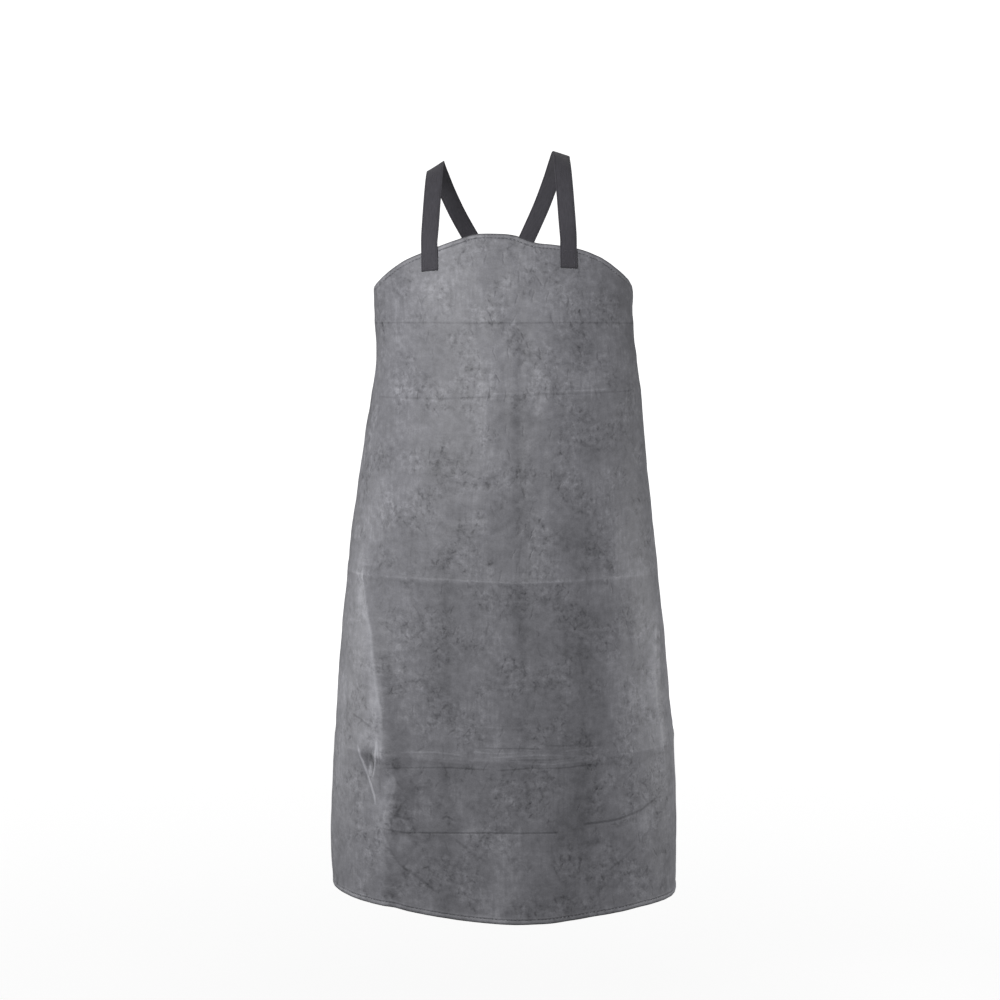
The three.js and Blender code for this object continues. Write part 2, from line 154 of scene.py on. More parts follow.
# Shallow waves between them, in the same terms. The coating is painted pale where they stand up, partly
# as wear and partly as a painted highlight, and dark in the hollows as painted shade, by the given tone.
waves = [
    {"height": 2 * mm, "left": 24 * mm, "right": 26 * mm, "level": [0.12, 0.2, 0.44, 0.7, 0.98],
     "across": [-0.12, -0.1, -0.08, -0.03, -0.02], "rise": [0, 1, 0.6, 0.6, 1], "tone": 0.5},
    {"height": -2 * mm, "left": 15 * mm, "right": 15 * mm, "level": [0.12, 0.2, 0.48, 0.75, 0.95],
     "across": [0.05, 0.055, 0.07, 0.085, 0.1], "rise": [0.3, 1, 1, 0.6, 0.2], "tone": -1.2},
    {"height": 2 * mm, "left": 24 * mm, "right": 30 * mm, "level": [0.1, 0.3, 0.6, 0.95],
     "across": [0.17, 0.18, 0.19, 0.2], "rise": [0, 1, 0.6, 0.3], "tone": 0.25},
    {"height": -2.4 * mm, "left": 26 * mm, "right": 24 * mm, "level": [0.28, 0.5, 0.7, 1.0],
     "across": [0.33, 0.33, 0.325, 0.33], "rise": [0, 0.6, 1, 0.9], "tone": -0.75},
    {"height": 2.4 * mm, "left": 26 * mm, "right": 34 * mm, "level": [0.3, 0.5, 0.7, 1.0],
     "across": [0.47, 0.46, 0.46, 0.47], "rise": [0, 0.5, 1, 0.9], "tone": 0.35},
    {"height": -1.6 * mm, "left": 15 * mm, "right": 16 * mm, "level": [0.44, 0.55, 0.7, 0.95],
     "across": [-0.23, -0.225, -0.22, -0.23], "rise": [0, 1, 1, 0.8], "tone": -0.9},
    {"height": 2 * mm, "left": 30 * mm, "right": 24 * mm, "level": [0.12, 0.3, 0.6, 0.9],
     "across": [-0.4, -0.4, -0.36, -0.32], "rise": [0, 1, 0.5, 0], "tone": 0.3},
]

# Bands beside the sharp folds, in the same terms: pale on the side that faces the light, partly as wear
# and partly as a painted highlight, and dark as painted shade where the cloth turns away from it
wear_and_light_bands = [
    {"left": 19 * mm, "right": 5 * mm, "level": [0.47, 0.52, 0.6, 0.71, 0.755, 0.775],
     "across": [-0.612, -0.598, -0.528, -0.481, -0.471, -0.47],
     "rise": [0, 0.7, 1, 1, 0.9, 0], "tone": 2.6},
    {"left": 22 * mm, "right": 6 * mm, "level": [0.77, 0.79, 0.815, 0.85, 0.88],
     "across": [-0.462, -0.43, -0.428, -0.45, -0.462], "rise": [0, 1, 1, 0.8, 0], "tone": 1.5},
    {"left": 11 * mm, "right": 11 * mm, "level": [0.82, 0.86, 0.92, 0.97],
     "across": [-0.485, -0.48, -0.475, -0.46], "rise": [0, 1, 0.7, 0], "tone": 1.2},
    {"left": 5 * mm, "right": 20 * mm, "level": [0.5, 0.6, 0.72, 0.8, 0.95],
     "across": [-0.57, -0.49, -0.445, -0.42, -0.43], "rise": [0, 1, 1, 0.2, 0], "tone": -0.5},
    {"left": 16 * mm, "right": 6 * mm, "level": [0.56, 0.6, 0.65, 0.7, 0.757, 0.83],
     "across": [0.695, 0.675, 0.6455, 0.656, 0.689, 0.702], "rise": [0, 1, 1, 1, 0.8, 0], "tone": 1.5},
    {"left": 46 * mm, "right": 60 * mm, "level": [0.5, 0.6, 0.9, 1.0],
     "across": [0.62, 0.6, 0.58, 0.58], "rise": [0, 1, 1, 1], "tone": 0.5},
    {"left": 34 * mm, "right": 44 * mm, "level": [0.5, 0.66, 0.85, 1.0],
     "across": [0.24, 0.26, 0.25, 0.24], "rise": [0, 0.5, 1, 0.8], "tone": -0.9},
]

# Fold lines of the packing: place down from the top of the bib, how high the cloth still stands
# along the line, how far that reaches above and below, how far the fine rows of the mesh reach, and
# the tones of the pale band on the line and of the painted shade under it
packing_creases = [
    {"down": 169 * mm, "height": 1.7 * mm, "above": 26 * mm, "below": 20 * mm, "fine": 7 * mm,
     "band": 0.1, "shade": -0.4},
    {"down": 306 * mm, "height": 0.9 * mm, "above": 18 * mm, "below": 22 * mm, "fine": 7 * mm,
     "band": 0.1, "shade": -0.1},
    {"down": 645 * mm, "height": 2.0 * mm, "above": 22 * mm, "below": 30 * mm, "fine": 7 * mm,
     "band": 0.9, "shade": -0.5},
    {"down": 970 * mm, "height": 2.0 * mm, "above": 26 * mm, "below": 24 * mm, "fine": 26 * mm,
     "band": 0.6, "shade": -0.4},
    {"down": 1104 * mm, "height": -0.7 * mm, "above": 12 * mm, "below": 12 * mm, "fine": 7 * mm,
     "band": 0.0, "shade": -0.2},
]
band_reach = 5 * mm
shade_reach = 34 * mm
crease_patch = 90 * mm
band_patch = 60 * mm
patch_height = 400 * mm

# Smudges of the chalk and painted light: place on the sheet, half width and half height, all in
# millimetres, and how pale or dark each is. The dark spots in the buckle's dent are painted shade, the
# pale spot just above it is a painted highlight, and the broad soft patches, a paler bib and a darker
# middle, are painted light and shade
smudge_edge = 2.4
smudges_and_painted_light = [
    (-205, 290, 38, 42, 0.9), (-80, 140, 80, 55, -0.5), (-112, 225, 42, 42, -0.8),
    (148, 215, 85, 46, -0.4), (30, 352, 50, 13, -0.8), (148, 352, 22, 18, -0.6),
    (152, 410, 24, 24, -0.8), (-120, 428, 26, 20, -0.5), (130, 575, 55, 36, -0.7),
    (-175, 598, 20, 18, -0.3), (-118, 845, 26, 22, -0.6), (142, 773, 28, 14, -0.7),
    (150, 716, 42, 24, -0.4), (158, 940, 36, 20, -0.6), (12, 902, 24, 11, -1.1),
    (118, 1110, 66, 90, -0.7), (-8, 1150, 28, 56, 0.4), (-117, 1098, 26, 26, -0.6),
    (-94, 1167, 26, 18, -0.6), (-295, 905, 18, 22, -0.8), (230, 130, 50, 26, -0.4),
    (-250, 946, 24, 12, 1.3), (-242, 980, 10, 11, -3.2), (-241, 999, 5, 14, -2.2),
    (-219, 1000, 6, 10, -1.4), (-285, 1030, 26, 42, -0.9), (300, 1130, 16, 60, -0.7),
    (-120, 430, 24, 60, -0.4), (-110, 470, 120, 230, -0.7), (290, 220, 34, 170, 0.6),
    (-330, 760, 14, 90, -0.4), (-262, 902, 26, 5, -0.8), (-330, 1000, 22, 26, 0.4),
    (-300, 1160, 40, 50, -0.4), (0, 190, 240, 90, 0.25), (130, 600, 150, 220, -0.4),
    (0, 790, 240, 120, -0.3), (-120, 1170, 150, 70, 0.4),
]


def read(table, key, column, at):
    """A column of a table at any place along it, by a smooth curve that never overshoots"""
    x = np.array(table[key], float)
    y = np.array(table[column], float)
    slope = np.diff(y) / np.diff(x)
    product = slope[:-1] * slope[1:]
    total = slope[:-1] + slope[1:]
    safe = np.where(product > 0, total, 1)
    inner = np.where(product > 0, 2 * product / safe, 0)
    tangent = np.concatenate([slope[:1], inner, slope[-1:]])
    at = np.clip(at, x[0], x[-1])
    k = np.clip(np.searchsorted(x, at, side="right") - 1, 0, len(x) - 2)
    span = x[k + 1] - x[k]
    t = (at - x[k]) / span
    rise = y[k + 1] - y[k]
    pull = tangent[k] * span
    push = tangent[k + 1] * span
    return y[k] + t * pull + t**2 * (3 * rise - 2 * pull - push) + t**3 * (pull + push - 2 * rise)


def smooth(start, end, at):
    """0 before start, 1 past end and a smooth change between them"""
    t = np.clip((at - start) / (end - start), 0, 1)
    return t * t * (3 - 2 * t)


def mix(start, end, share):
    return start + (end - start) * share


fall_levels = np.linspace(sections["level"][0], sections["level"][-1], fall_steps + 1)
fall_fronts = drape_front * read(sections, "level", "front", fall_levels)
fall_run = panel_length * (fall_levels[1] - fall_levels[0])
fall_parts = np.sqrt(np.maximum(fall_run**2 - np.diff(fall_fronts) ** 2, 0))
falls = np.concatenate([[0], np.cumsum(fall_parts)])


def height_at(level):
    return np.interp(0, fall_levels, falls) - np.interp(level, fall_levels, falls) - bib_below


def form_outline(level, angle):
    """Place on the form that the cloth hangs over, by level and by the angle round from the front"""
    half = drape_width / 2 * read(sections, "level", "half", level)
    front = drape_front * read(sections, "level", "front", level)
    back = drape_back * read(sections, "level", "back", level)
    square = read(sections, "level", "square", level)
    sin, cos = np.sin(angle), np.cos(angle)
    depth = np.where(cos > 0, front, back)
    reach = (np.abs(sin / half) ** square + np.abs(cos / depth) ** square) ** (-1 / square)
    return reach * sin + drape_width * read(sections, "level", "shift", level), -reach * cos


def angle_at(level, across):
    """Angle round the form that a length of cloth reaches from the front"""
    angles = np.linspace(0, turn_limit, turn_steps + 1)
    x, y = form_outline(level[:, None], angles[None, :])
    runs = np.hypot(np.diff(x, axis=1), np.diff(y, axis=1)).cumsum(axis=1)
    runs = np.concatenate([np.zeros((len(level), 1)), runs], axis=1)
    k = np.clip((runs <= np.abs(across)[:, None]).sum(axis=1) - 1, 0, turn_steps - 1)
    row = np.arange(len(level))
    part = (np.abs(across) - runs[row, k]) / (runs[row, k + 1] - runs[row, k])
    return np.sign(across) * turn_limit * (k + part) / turn_steps


def sum_of_folds(rows, column, across, down):
    """What a set of folds adds at places on the flat sheet: their height or their tone"""
    total = np.zeros_like(across)
    for fold in rows:
        level = down / panel_length
        away = across - panel_width / 2 * read(fold, "level", "across", level)
        reach = np.where(away < 0, fold["left"], fold["right"])
        share = read(fold, "level", "rise", level)
        total = total + fold[column] * share * np.exp(-np.abs(away / reach) ** fold_crown)
    return total


def place_on_form(across, down):
    """Places of the flat sheet on the form: across from the middle, down from the top edge"""
    shape = np.shape(across)
    across, down = np.ravel(across), np.ravel(down)
    fade = 1 - np.exp(-np.maximum(down, 0) / rise_fade)
    level = (down - side_rise * (across / (panel_width / 2)) ** 2 * fade) / panel_length
    spots = []
    for part in np.array_split(np.arange(len(level)), max(1, len(level) // batch_size)):
        here, length = level[part], across[part]
        angle = angle_at(here, length)
        x, y = form_outline(here, angle)
        after = form_outline(here, angle + turn_reach)
        before = form_outline(here, angle - turn_reach)
        along = np.stack([after[0] - before[0], after[1] - before[1]])
        along = along / np.linalg.norm(along, axis=0)
        lift = sum_of_folds(folds, "height", length, down[part])
        spots.append(np.stack([x + along[1] * lift, y - along[0] * lift, height_at(here)], axis=-1))
    return np.concatenate(spots).reshape(*shape, 3)


def unit(vectors):
    return vectors / np.linalg.norm(vectors, axis=-1, keepdims=True)


def facing_on_form(across, down):
    """Directions that the face of the sheet looks in"""
    sideways = place_on_form(across + facing_reach, down) - place_on_form(across - facing_reach, down)
    downwards = place_on_form(across, down + facing_reach) - place_on_form(across, down - facing_reach)
    return unit(np.cross(downwards, sideways))


half_panel = panel_width / 2
half_inner = half_panel - hem_width
half_bib = bib_width / 2
corner_out = (armhole_edge["out"][-1] - armhole_edge["out"][-2]) * (half_panel - half_bib)
corner_along = 1 - hem_width * (armhole_edge["along"][-1] - armhole_edge["along"][-2]) / corner_out


def top_edge(column):
    """Cut edge of the bib and the armholes at a column of the sheet"""
    distance = np.abs(column)
    bib_down = bib_drop * read(bib_edge, "across", "drop", column / half_bib)
    inside = corner_along * (distance - half_bib) / (half_inner - half_bib)
    outside = mix(corner_along, 1, (distance - half_inner) / hem_width)
    along = np.where(distance < half_inner, inside, outside)
    across = np.sign(column) * mix(half_bib, half_panel, read(armhole_edge, "along", "out", along))
    down = mix(bib_drop, armhole_depth, read(armhole_edge, "along", "drop", along))
    on_bib = distance <= half_bib
    return np.where(on_bib, column, across), np.where(on_bib, bib_down, down)


def inside_top_edge(column, depth):
    """The same edge moved in by some depth, and square to the side edge at the waist corner"""
    left = top_edge(np.maximum(column - edge_reach, -half_panel))
    right = top_edge(np.minimum(column + edge_reach, half_panel))
    run = np.hypot(right[0] - left[0], right[1] - left[1])
    corner = smooth(half_inner - hem_width, half_inner, np.abs(column))
    inward = np.stack([-(right[1] - left[1]) / run, (right[0] - left[0]) / run])
    inward = mix(inward, np.array([0.0, 1.0])[:, None], corner)
    inward = inward / np.linalg.norm(inward, axis=0)
    across, down = top_edge(column)
    return across + inward[0] * depth, down + inward[1] * depth


def bottom_down(column):
    return panel_length - bottom_sweep * read(bottom_edge, "across", "rise", column / half_panel)


noise_cells = 64
cloud_start = (29.3, 3.7)
crumple_start = (30, 4)
crumple_bend = 0.6
crumple_top = 0.6


def cloud(across, down, wide, tall, seed):
    """Seeded soft noise from -1 to 1 over the flat sheet, with patches of one width and height"""
    values = np.random.default_rng(seed).uniform(-1, 1, (noise_cells, noise_cells))
    u, v = across / wide + cloud_start[0], down / tall + cloud_start[1]
    i, j = np.floor(u).astype(int), np.floor(v).astype(int)
    s, t = smooth(0, 1, u - i), smooth(0, 1, v - j)
    corner = lambda k, m: values[(i + k) % noise_cells, (j + m) % noise_cells]
    return mix(mix(corner(0, 0), corner(1, 0), s), mix(corner(0, 1), corner(1, 1), s), t)


def crumple(across, down, wide, tall, seed):
    """Facets of crumpled cloth: distance between the two nearest of some scattered centres"""
    jitter = np.random.default_rng(seed).uniform(0.1, 0.9, (noise_cells, noise_cells, 2))
    u = across / wide + crumple_start[0] + crumple_bend * cloud(across, down, 3 * wide, 2 * tall, seed + 1)
    v = down / tall + crumple_start[1] + crumple_bend * cloud(across, down, 2 * wide, 2 * tall, seed + 2)
    i, j = np.floor(u).astype(int), np.floor(v).astype(int)
    nearest = np.full(u.shape, np.inf)
    second = np.full(u.shape, np.inf)
    for k in (-1, 0, 1):
        for m in (-1, 0, 1):
            spot = jitter[(i + k) % noise_cells, (j + m) % noise_cells]
            away = np.hypot(i + k + spot[..., 0] - u, j + m + spot[..., 1] - v)
            second = np.minimum(second, np.maximum(away, nearest))
            nearest = np.minimum(nearest, away)
    return np.minimum(second - nearest, crumple_top)


# Places where a strap end lies on the cloth, and how far the flat cloth reaches round them
strap_seats = [(-136 * mm, 52 * mm), (121 * mm, 49 * mm), (-436 * mm, 398 * mm), (436 * mm, 398 * mm)]
seat_flat = 21 * mm
seat_reach = 60 * mm

buckle = {"across": -243 * mm, "down": 988 * mm, "wide": 10 * mm, "tall": 22 * mm, "deep": 8 * mm}

# Crumples, coarse and fine: their height, the size of their facets, how much of the height is left
# where the cloth is calm, and the seed of their scatter
crumples = [
    {"height": 1.5 * mm, "wide": 58 * mm, "tall": 92 * mm, "calm": 0.5, "seed": 11},
    {"height": 0.7 * mm, "wide": 26 * mm, "tall": 40 * mm, "calm": 0.4, "seed": 23},
]
calm_patches = {"wide": 110 * mm, "tall": 150 * mm, "seed": 5}
dimples = {"wide": 44 * mm, "tall": 70 * mm, "seed": 31}
dimple_height = 0.9 * mm


def relief(across, down):
    """Small forms of the cloth over its main folds: waves, packing creases, a buckle and crumples.
    They die out where a strap holds the cloth flat."""
    total = sum_of_folds(waves, "height", across, down)
    for crease in packing_creases:
        away = down - crease["down"]
        reach = np.where(away < 0, crease["above"], crease["below"])
        worn = 0.75 + 0.5 * cloud(across, down, crease_patch, patch_height, int(crease["down"] / mm))
        total = total + crease["height"] * worn * np.exp(-np.abs(away) / reach)
    away = np.hypot((across - buckle["across"]) / buckle["wide"], (down - buckle["down"]) / buckle["tall"])
    total = total - buckle["deep"] * np.exp(-away**2)
    busy = 0.5 + 0.5 * cloud(across, down, **calm_patches)
    for kind in crumples:
        facets = crumple(across, down, kind["wide"], kind["tall"], kind["seed"])
        total = total + (kind["calm"] + busy) * kind["height"] * facets
    total = total + dimple_height * cloud(across, down, **dimples)
    for seat_across, seat_down in strap_seats:
        away = np.hypot(across - seat_across, down - seat_down)
        total = total * smooth(seat_flat, seat_reach, away)
    return total


# Section across a turned edge, in millimetres from the cut edge: height of the face and of the
# back over the plain face of the cloth
turned_edge = {
    "inside": [0, 0.3, 0.9, 1.8, 3.2, 5, 6.8, 7.8, 8.6, 9.4, 10.6, 11.6, 12, 13.2, 16],
    "face": [-1.3, -0.5, 0.15, 0.6, 0.8, 0.75, 0.55, 0.1, -0.35, 0.05, 0.35, 0.3, 0.2, 0.06, 0],
    "back": [-1.3, -2.1, -2.6, -2.8, -2.8, -2.75, -2.6, -2.4, -2.2, -2.4, -2.5, -2.4, -1.25, -1.1, -1.1],
}
hem_lines = np.array(turned_edge["inside"]) * mm
stitch_line = 8.6 * mm

side_columns = half_panel - hem_lines
column_count = int(2 * side_columns[-1] / cloth_step)
inner_columns = np.linspace(-side_columns[-1], side_columns[-1], column_count)
columns = np.concatenate([-side_columns[:-1], inner_columns, side_columns[:-1][::-1]])

levels = [hem_lines[-1]]
while levels[-1] < panel_length - hem_lines[-1] - cloth_step:
    near = any(abs(crease["down"] - levels[-1]) < crease["fine"] for crease in packing_creases)
    levels.append(levels[-1] + (crease_step if near else cloth_step))
levels = np.array(levels)

bottom = bottom_down(columns)
outside_bib = smooth(half_bib - corner_before, half_bib + corner_after, np.abs(columns))
even = mix(even_level, side_even_level, outside_bib)
start_across, start_down = inside_top_edge(columns, hem_lines[-1])
rows = [inside_top_edge(columns, depth) for depth in hem_lines[:-1]]
low = panel_length - bottom_zone
for level in levels:
    share = np.clip((level - hem_lines[-1]) / (even - hem_lines[-1]), 0, 1)
    across = mix(start_across, columns, share)
    down = np.where(share < 1, mix(start_down, even, share), level)
    part = max(level - low, 0) / (levels[-1] - low)
    down = down + part * (bottom - hem_lines[-1] - levels[-1])
    rows.append((across, down))
rows += [(columns, bottom - depth) for depth in hem_lines[:-1][::-1]]
flat_across = np.array([row[0] for row in rows])
flat_down = np.array([row[1] for row in rows])

row_inside = np.full(len(rows), hem_lines[-1])
row_inside[: len(hem_lines) - 1] = hem_lines[:-1]
row_inside[1 - len(hem_lines):] = hem_lines[:-1][::-1]
column_inside = np.minimum(half_panel - np.abs(columns), hem_lines[-1])
from_cut = np.minimum(row_inside[:, None], column_inside[None, :])

spots = place_on_form(flat_across, flat_down)
facing = facing_on_form(flat_across, flat_down)
rise = panel_wall / 2 + relief(flat_across, flat_down)
face_rise = rise + mm * read(turned_edge, "inside", "face", from_cut / mm)
back_rise = rise + mm * read(turned_edge, "inside", "back", from_cut / mm)
face_points = spots + facing * face_rise[..., None]
back_points = spots + facing * back_rise[..., None]

# The face has every row and column, the back every third one inside the hem
row_total, column_total = flat_across.shape
edge_count = len(hem_lines)


def kept(total):
    inner = np.arange(edge_count, total - edge_count, back_stride)
    return [*range(edge_count), *inner, *range(total - edge_count, total)]


face_ids = np.arange(row_total * column_total).reshape(row_total, column_total)
back_rows, back_columns = kept(row_total), kept(column_total)
back_ids = face_ids.copy()
inner_rows, inner_columns = back_rows[1:-1], back_columns[1:-1]
grid = np.ix_(inner_rows, inner_columns)
inner_ids = np.arange(len(inner_rows) * len(inner_columns)).reshape(len(inner_rows), -1)
back_ids[grid] = face_ids.size + inner_ids

faces = np.stack(
    [face_ids[:-1, :-1], face_ids[1:, :-1], face_ids[1:, 1:], face_ids[:-1, 1:]], axis=-1
).reshape(-1, 4).tolist()
for top, low_row in zip(back_rows[:-1], back_rows[1:]):
    for left, right in zip(back_columns[:-1], back_columns[1:]):
        above = range(left, right + 1) if top == 0 else (left, right)
        below = range(left, right + 1) if low_row == row_total - 1 else (left, right)
        left_side = range(top, low_row + 1) if left == 0 else (top, low_row)
        right_side = range(top, low_row + 1) if right == column_total - 1 else (top, low_row)
        loop = [(top, column) for column in above]
        loop += [(row, right) for row in right_side[1:]]
        loop += [(low_row, column) for column in below[-2::-1]]
        loop += [(row, left) for row in left_side[-2:0:-1]]
        faces.append([int(back_ids[spot]) for spot in loop])

points = np.concatenate([face_points.reshape(-1, 3), back_points[grid].reshape(-1, 3)])
mesh = bpy.data.meshes.new("apron_sheet")
mesh.from_pydata(points.tolist(), [], faces)
mesh.shade_smooth()


def add_object(name, data):
    made = bpy.data.objects.new(name, data)
    bpy.context.scene.collection.objects.link(made)
    return made


sheet = add_object("apron_sheet", mesh)

# Sharp lines in the cloth: how far the cloth stands up along each, how pale or dark the coating is painted
# there, and its course over the flat sheet in millimetres. A raised line is painted pale, partly as wear
# and partly as a painted highlight; a sunken line is darkened as painted shade
packing_lines = [
    (-0.3, -0.75, [(-330, 169), (330, 169)]),
    (-0.2, -0.6, [(-275, 313), (-121, 313), (-20, 308)]),
    (0.2, 0.5, [(-30, 303), (79, 299), (210, 296)]),
    (-0.2, -0.5, [(-10, 308), (79, 304), (260, 301)]),
    (0.15, 0.25, [(-445, 652), (-225, 644), (-96, 642), (28, 647), (209, 644), (445, 658)]),
    (0.1, 0.3, [(-96, 906), (10, 910), (60, 908)]),
    (0.2, 0.5, [(-190, 962), (-125, 958), (-70, 962)]),
    (0.2, 0.4, [(-60, 954), (-15, 957), (40, 955)]),
    (0.2, 0.5, [(-30, 964), (60, 960), (110, 963)]),
    (0.2, 0.5, [(20, 975), (90, 978), (160, 974)]),
    (0.1, 0.4, [(-150, 972), (-60, 976)]),
    (0.2, 0.4, [(100, 956), (175, 952)]),
    (-0.3, -0.6, [(-44, 947), (30, 948), (72, 950)]),
    (-0.2, -0.5, [(70, 943), (140, 947)]),
    (-0.3, -0.6, [(0, 969), (90, 970), (140, 968)]),
    (-0.3, -0.6, [(-212, 991), (-98, 985), (-25, 987)]),
    (-0.3, -0.7, [(-15, 988), (50, 984), (101, 986), (171, 983)]),
    (-0.4, -0.9, [(-213, 1103), (-178, 1109), (-143, 1107), (-25, 1102), (102, 1104)]),
]
wear_and_light_lines = [
    (0.3, 0.5, [(-276, 639), (-240, 754), (-226, 845), (-216, 900), (-214, 977)]),
    (0.6, 1.7, [(-268, 958), (-263, 978), (-250, 1008), (-239, 1026), (-231, 1045), (-228, 1064)]),
    (0.6, 1.8, [(-220, 935), (-224, 958), (-232, 996), (-238, 1018)]),
    (0.2, 0.4, [(-211, 988), (-194, 1007), (-192, 1019), (-199, 1048), (-211, 1072), (-211, 1096)]),
    (0.2, 0.6, [(-217, 1098), (-213, 1111), (-201, 1151)]),
    (0.2, 0.3, [(314, 746), (295, 824), (300, 892), (315, 962), (321, 1025)]),
    (-0.3, -0.9, [(-290, 902), (-262, 910), (-228, 923)]),
    (-0.3, -0.6, [(-211, 1128), (-185, 1171), (-163, 1187), (-118, 1219)]),
    (-0.3, -0.5, [(187, 1185), (252, 1143)]),
    (-0.4, -1.0, [(142, 1092), (204, 1090), (256, 1081), (300, 1062)]),
    (-0.4, -0.9, [(-116, 1083), (-105, 1075), (-86, 1084)]),
    (-0.3, -1.0, [(-180, 1050), (-193, 1077), (-174, 1084)]),
    (-0.3, -0.6, [(-94, 1111), (-63, 1136)]),
    (-0.3, -0.6, [(200, 1108), (206, 1127)]),
    (0.2, 0.35, [(58, 195), (86, 225)]),
    (-0.3, -0.5, [(165, 290), (174, 322)]),
    (0.2, 0.35, [(50, 278), (74, 268)]),
    (-0.3, -0.5, [(-38, 508), (-48, 530)]),
    (-0.3, -0.6, [(36, 548), (20, 564)]),
    (0.2, 0.35, [(43, 518), (74, 530)]),
]
line_fade = 12 * mm
line_reach = 9 * mm
far_away = 1.0


def distances_along(path):
    return np.concatenate([[0], np.linalg.norm(np.diff(path, axis=0), axis=1).cumsum()])


def nearest_line(lines):
    """For each point of the face: how far the nearest line is, signed, and its ridge and tone"""
    across, down = flat_across.ravel(), flat_down.ravel()
    found = np.stack([np.full(across.shape, far_away), np.zeros(across.shape), np.zeros(across.shape)])
    for ridge, tone, course in lines:
        course = np.array(course) * mm
        runs = distances_along(course)
        signed = np.full(across.shape, far_away)
        run = np.zeros(across.shape)
        for start, end, before, after in zip(course[:-1], course[1:], runs[:-1], runs[1:]):
            way = (end - start) / (after - before)
            along = np.clip((across - start[0]) * way[0] + (down - start[1]) * way[1], 0, after - before)
            gap_across = across - start[0] - way[0] * along
            gap_down = down - start[1] - way[1] * along
            gap = np.hypot(gap_across, gap_down)
            closer = gap < np.abs(signed)
            side = np.where(way[0] * gap_down - way[1] * gap_across < 0, -1, 1)
            signed = np.where(closer, side * gap, signed)
            run = np.where(closer, before + along, run)
        fade = smooth(0, line_fade, np.minimum(run, runs[-1] - run))
        fade = fade * smooth(line_reach, line_reach / 2, np.abs(signed))
        closer = np.abs(signed) < np.abs(found[0])
        found = np.where(closer, np.stack([signed, fade * ridge, fade * tone]), found)
    found[0] = np.clip(found[0], -line_reach, line_reach)
    return found.T


def keep_on_mesh(name, values):
    """Stores a vector at each point of the sheet, where its material reads it"""
    back = values.reshape(row_total, column_total, 3)[grid].reshape(-1, 3)
    stored = mesh.attributes.new(name, "FLOAT_VECTOR", "POINT")
    stored.data.foreach_set("vector", np.concatenate([values, back]).astype(np.float32).ravel())


def rubbed(across, down):
    """How pale or dark the coating is: wear with painted highlights and painted shade on the waves and
    beside the folds, a pale band with painted shade under it at each packing crease, and the smudges with
    painted light and shade
    """
    total = sum_of_folds(waves, "tone", across, down) + sum_of_folds(wear_and_light_bands, "tone", across, down)
    for crease in packing_creases:
        away = down - crease["down"]
        worn = 0.6 + 0.5 * cloud(across, down, band_patch, patch_height, 7 + int(crease["down"] / mm))
        total = total + crease["band"] * worn * np.exp(-(away / band_reach) ** 2)
        # Painted shade under the crease
        shade = np.where(away > 0, np.exp(-away / shade_reach), 0)
        total = total + crease["shade"] * shade * smooth(0, band_reach, away)
    for smudge_across, smudge_down, wide, tall, tone in smudges_and_painted_light:
        away = np.hypot((across / mm - smudge_across) / wide, (down / mm - smudge_down) / tall)
        total = total + tone * np.exp(-away**smudge_edge)
    return total


# Stored tones of wear, chalk smudges, painted highlights and painted shade
wear_and_light_tone = rubbed(flat_across, flat_down)
keep_on_mesh("rubbed", np.stack([wear_and_light_tone.ravel()] * 3, axis=-1))
keep_on_mesh("cloth_place", np.stack([flat_across.ravel(), flat_down.ravel(), from_cut.ravel()], axis=-1))
keep_on_mesh("packing_line", nearest_line(packing_lines))
keep_on_mesh("wear_line", nearest_line(wear_and_light_lines))


def linear(colour):
    """An sRGB hex colour in the linear values that a shader takes"""
    parts = [int(colour[k:k + 2], 16) / 255 for k in (1, 3, 5)]
    return [c / 12.92 if c <= 0.04045 else ((c + 0.055) / 1.055) ** 2.4 for c in parts] + [1]


def add_node(tree, kind, inputs=None, **settings):
    """Adds a node with its settings, and links or sets its inputs"""
    made = tree.nodes.new(kind)
    for name, value in settings.items():
        setattr(made, name, value)
    for name, value in (inputs or {}).items():
        if isinstance(value, bpy.types.NodeSocket):
            tree.links.new(value, made.inputs[name])
        else:
            made.inputs[name].default_value = value
    return made


def empty_material(name):
    """A new material and its tree, which has no node yet"""
    made = bpy.data.materials.new(name)
    made.use_nodes = True
    made.node_tree.nodes.clear()
    return made, made.node_tree


def add_math(tree, operation, *values):
    return add_node(tree, "ShaderNodeMath", dict(enumerate(values)), operation=operation).outputs[0]


def add_spread(tree, place, pattern, shift=(0, 0, 0)):
    """Spreads a place over a pattern, whose width and height are given in millimetres"""
    scale = (1 / (pattern["width"] * mm), 1 / (pattern["height"] * mm), 1)
    spec = {"Vector": place, "Location": shift, "Scale": scale}
    return add_node(tree, "ShaderNodeMapping", spec).outputs[0]


def add_noise(tree, place, pattern, shift=(0, 0, 0)):
    spread = add_spread(tree, place, pattern, shift)
    spec = {"Vector": spread, "Scale": 1, "Detail": pattern["detail"], "Roughness": pattern["rough"]}
    return add_node(tree, "ShaderNodeTexNoise", spec).outputs["Fac"]


def add_step(tree, value, none, full):
    """Soft step of a value, from 0 at none to 1 at full"""
    spec = {"Value": value, "From Min": none, "From Max": full}
    return add_node(tree, "ShaderNodeMapRange", spec, interpolation_type="SMOOTHSTEP").outputs[0]


def add_sum(tree, fields, weights):
    """Adds up a start and some fields, each times its weight"""
    total = weights["start"]
    for source, weight in weights.items():
        if source != "start":
            total = add_math(tree, "MULTIPLY_ADD", fields[source], weight, total)
    return total


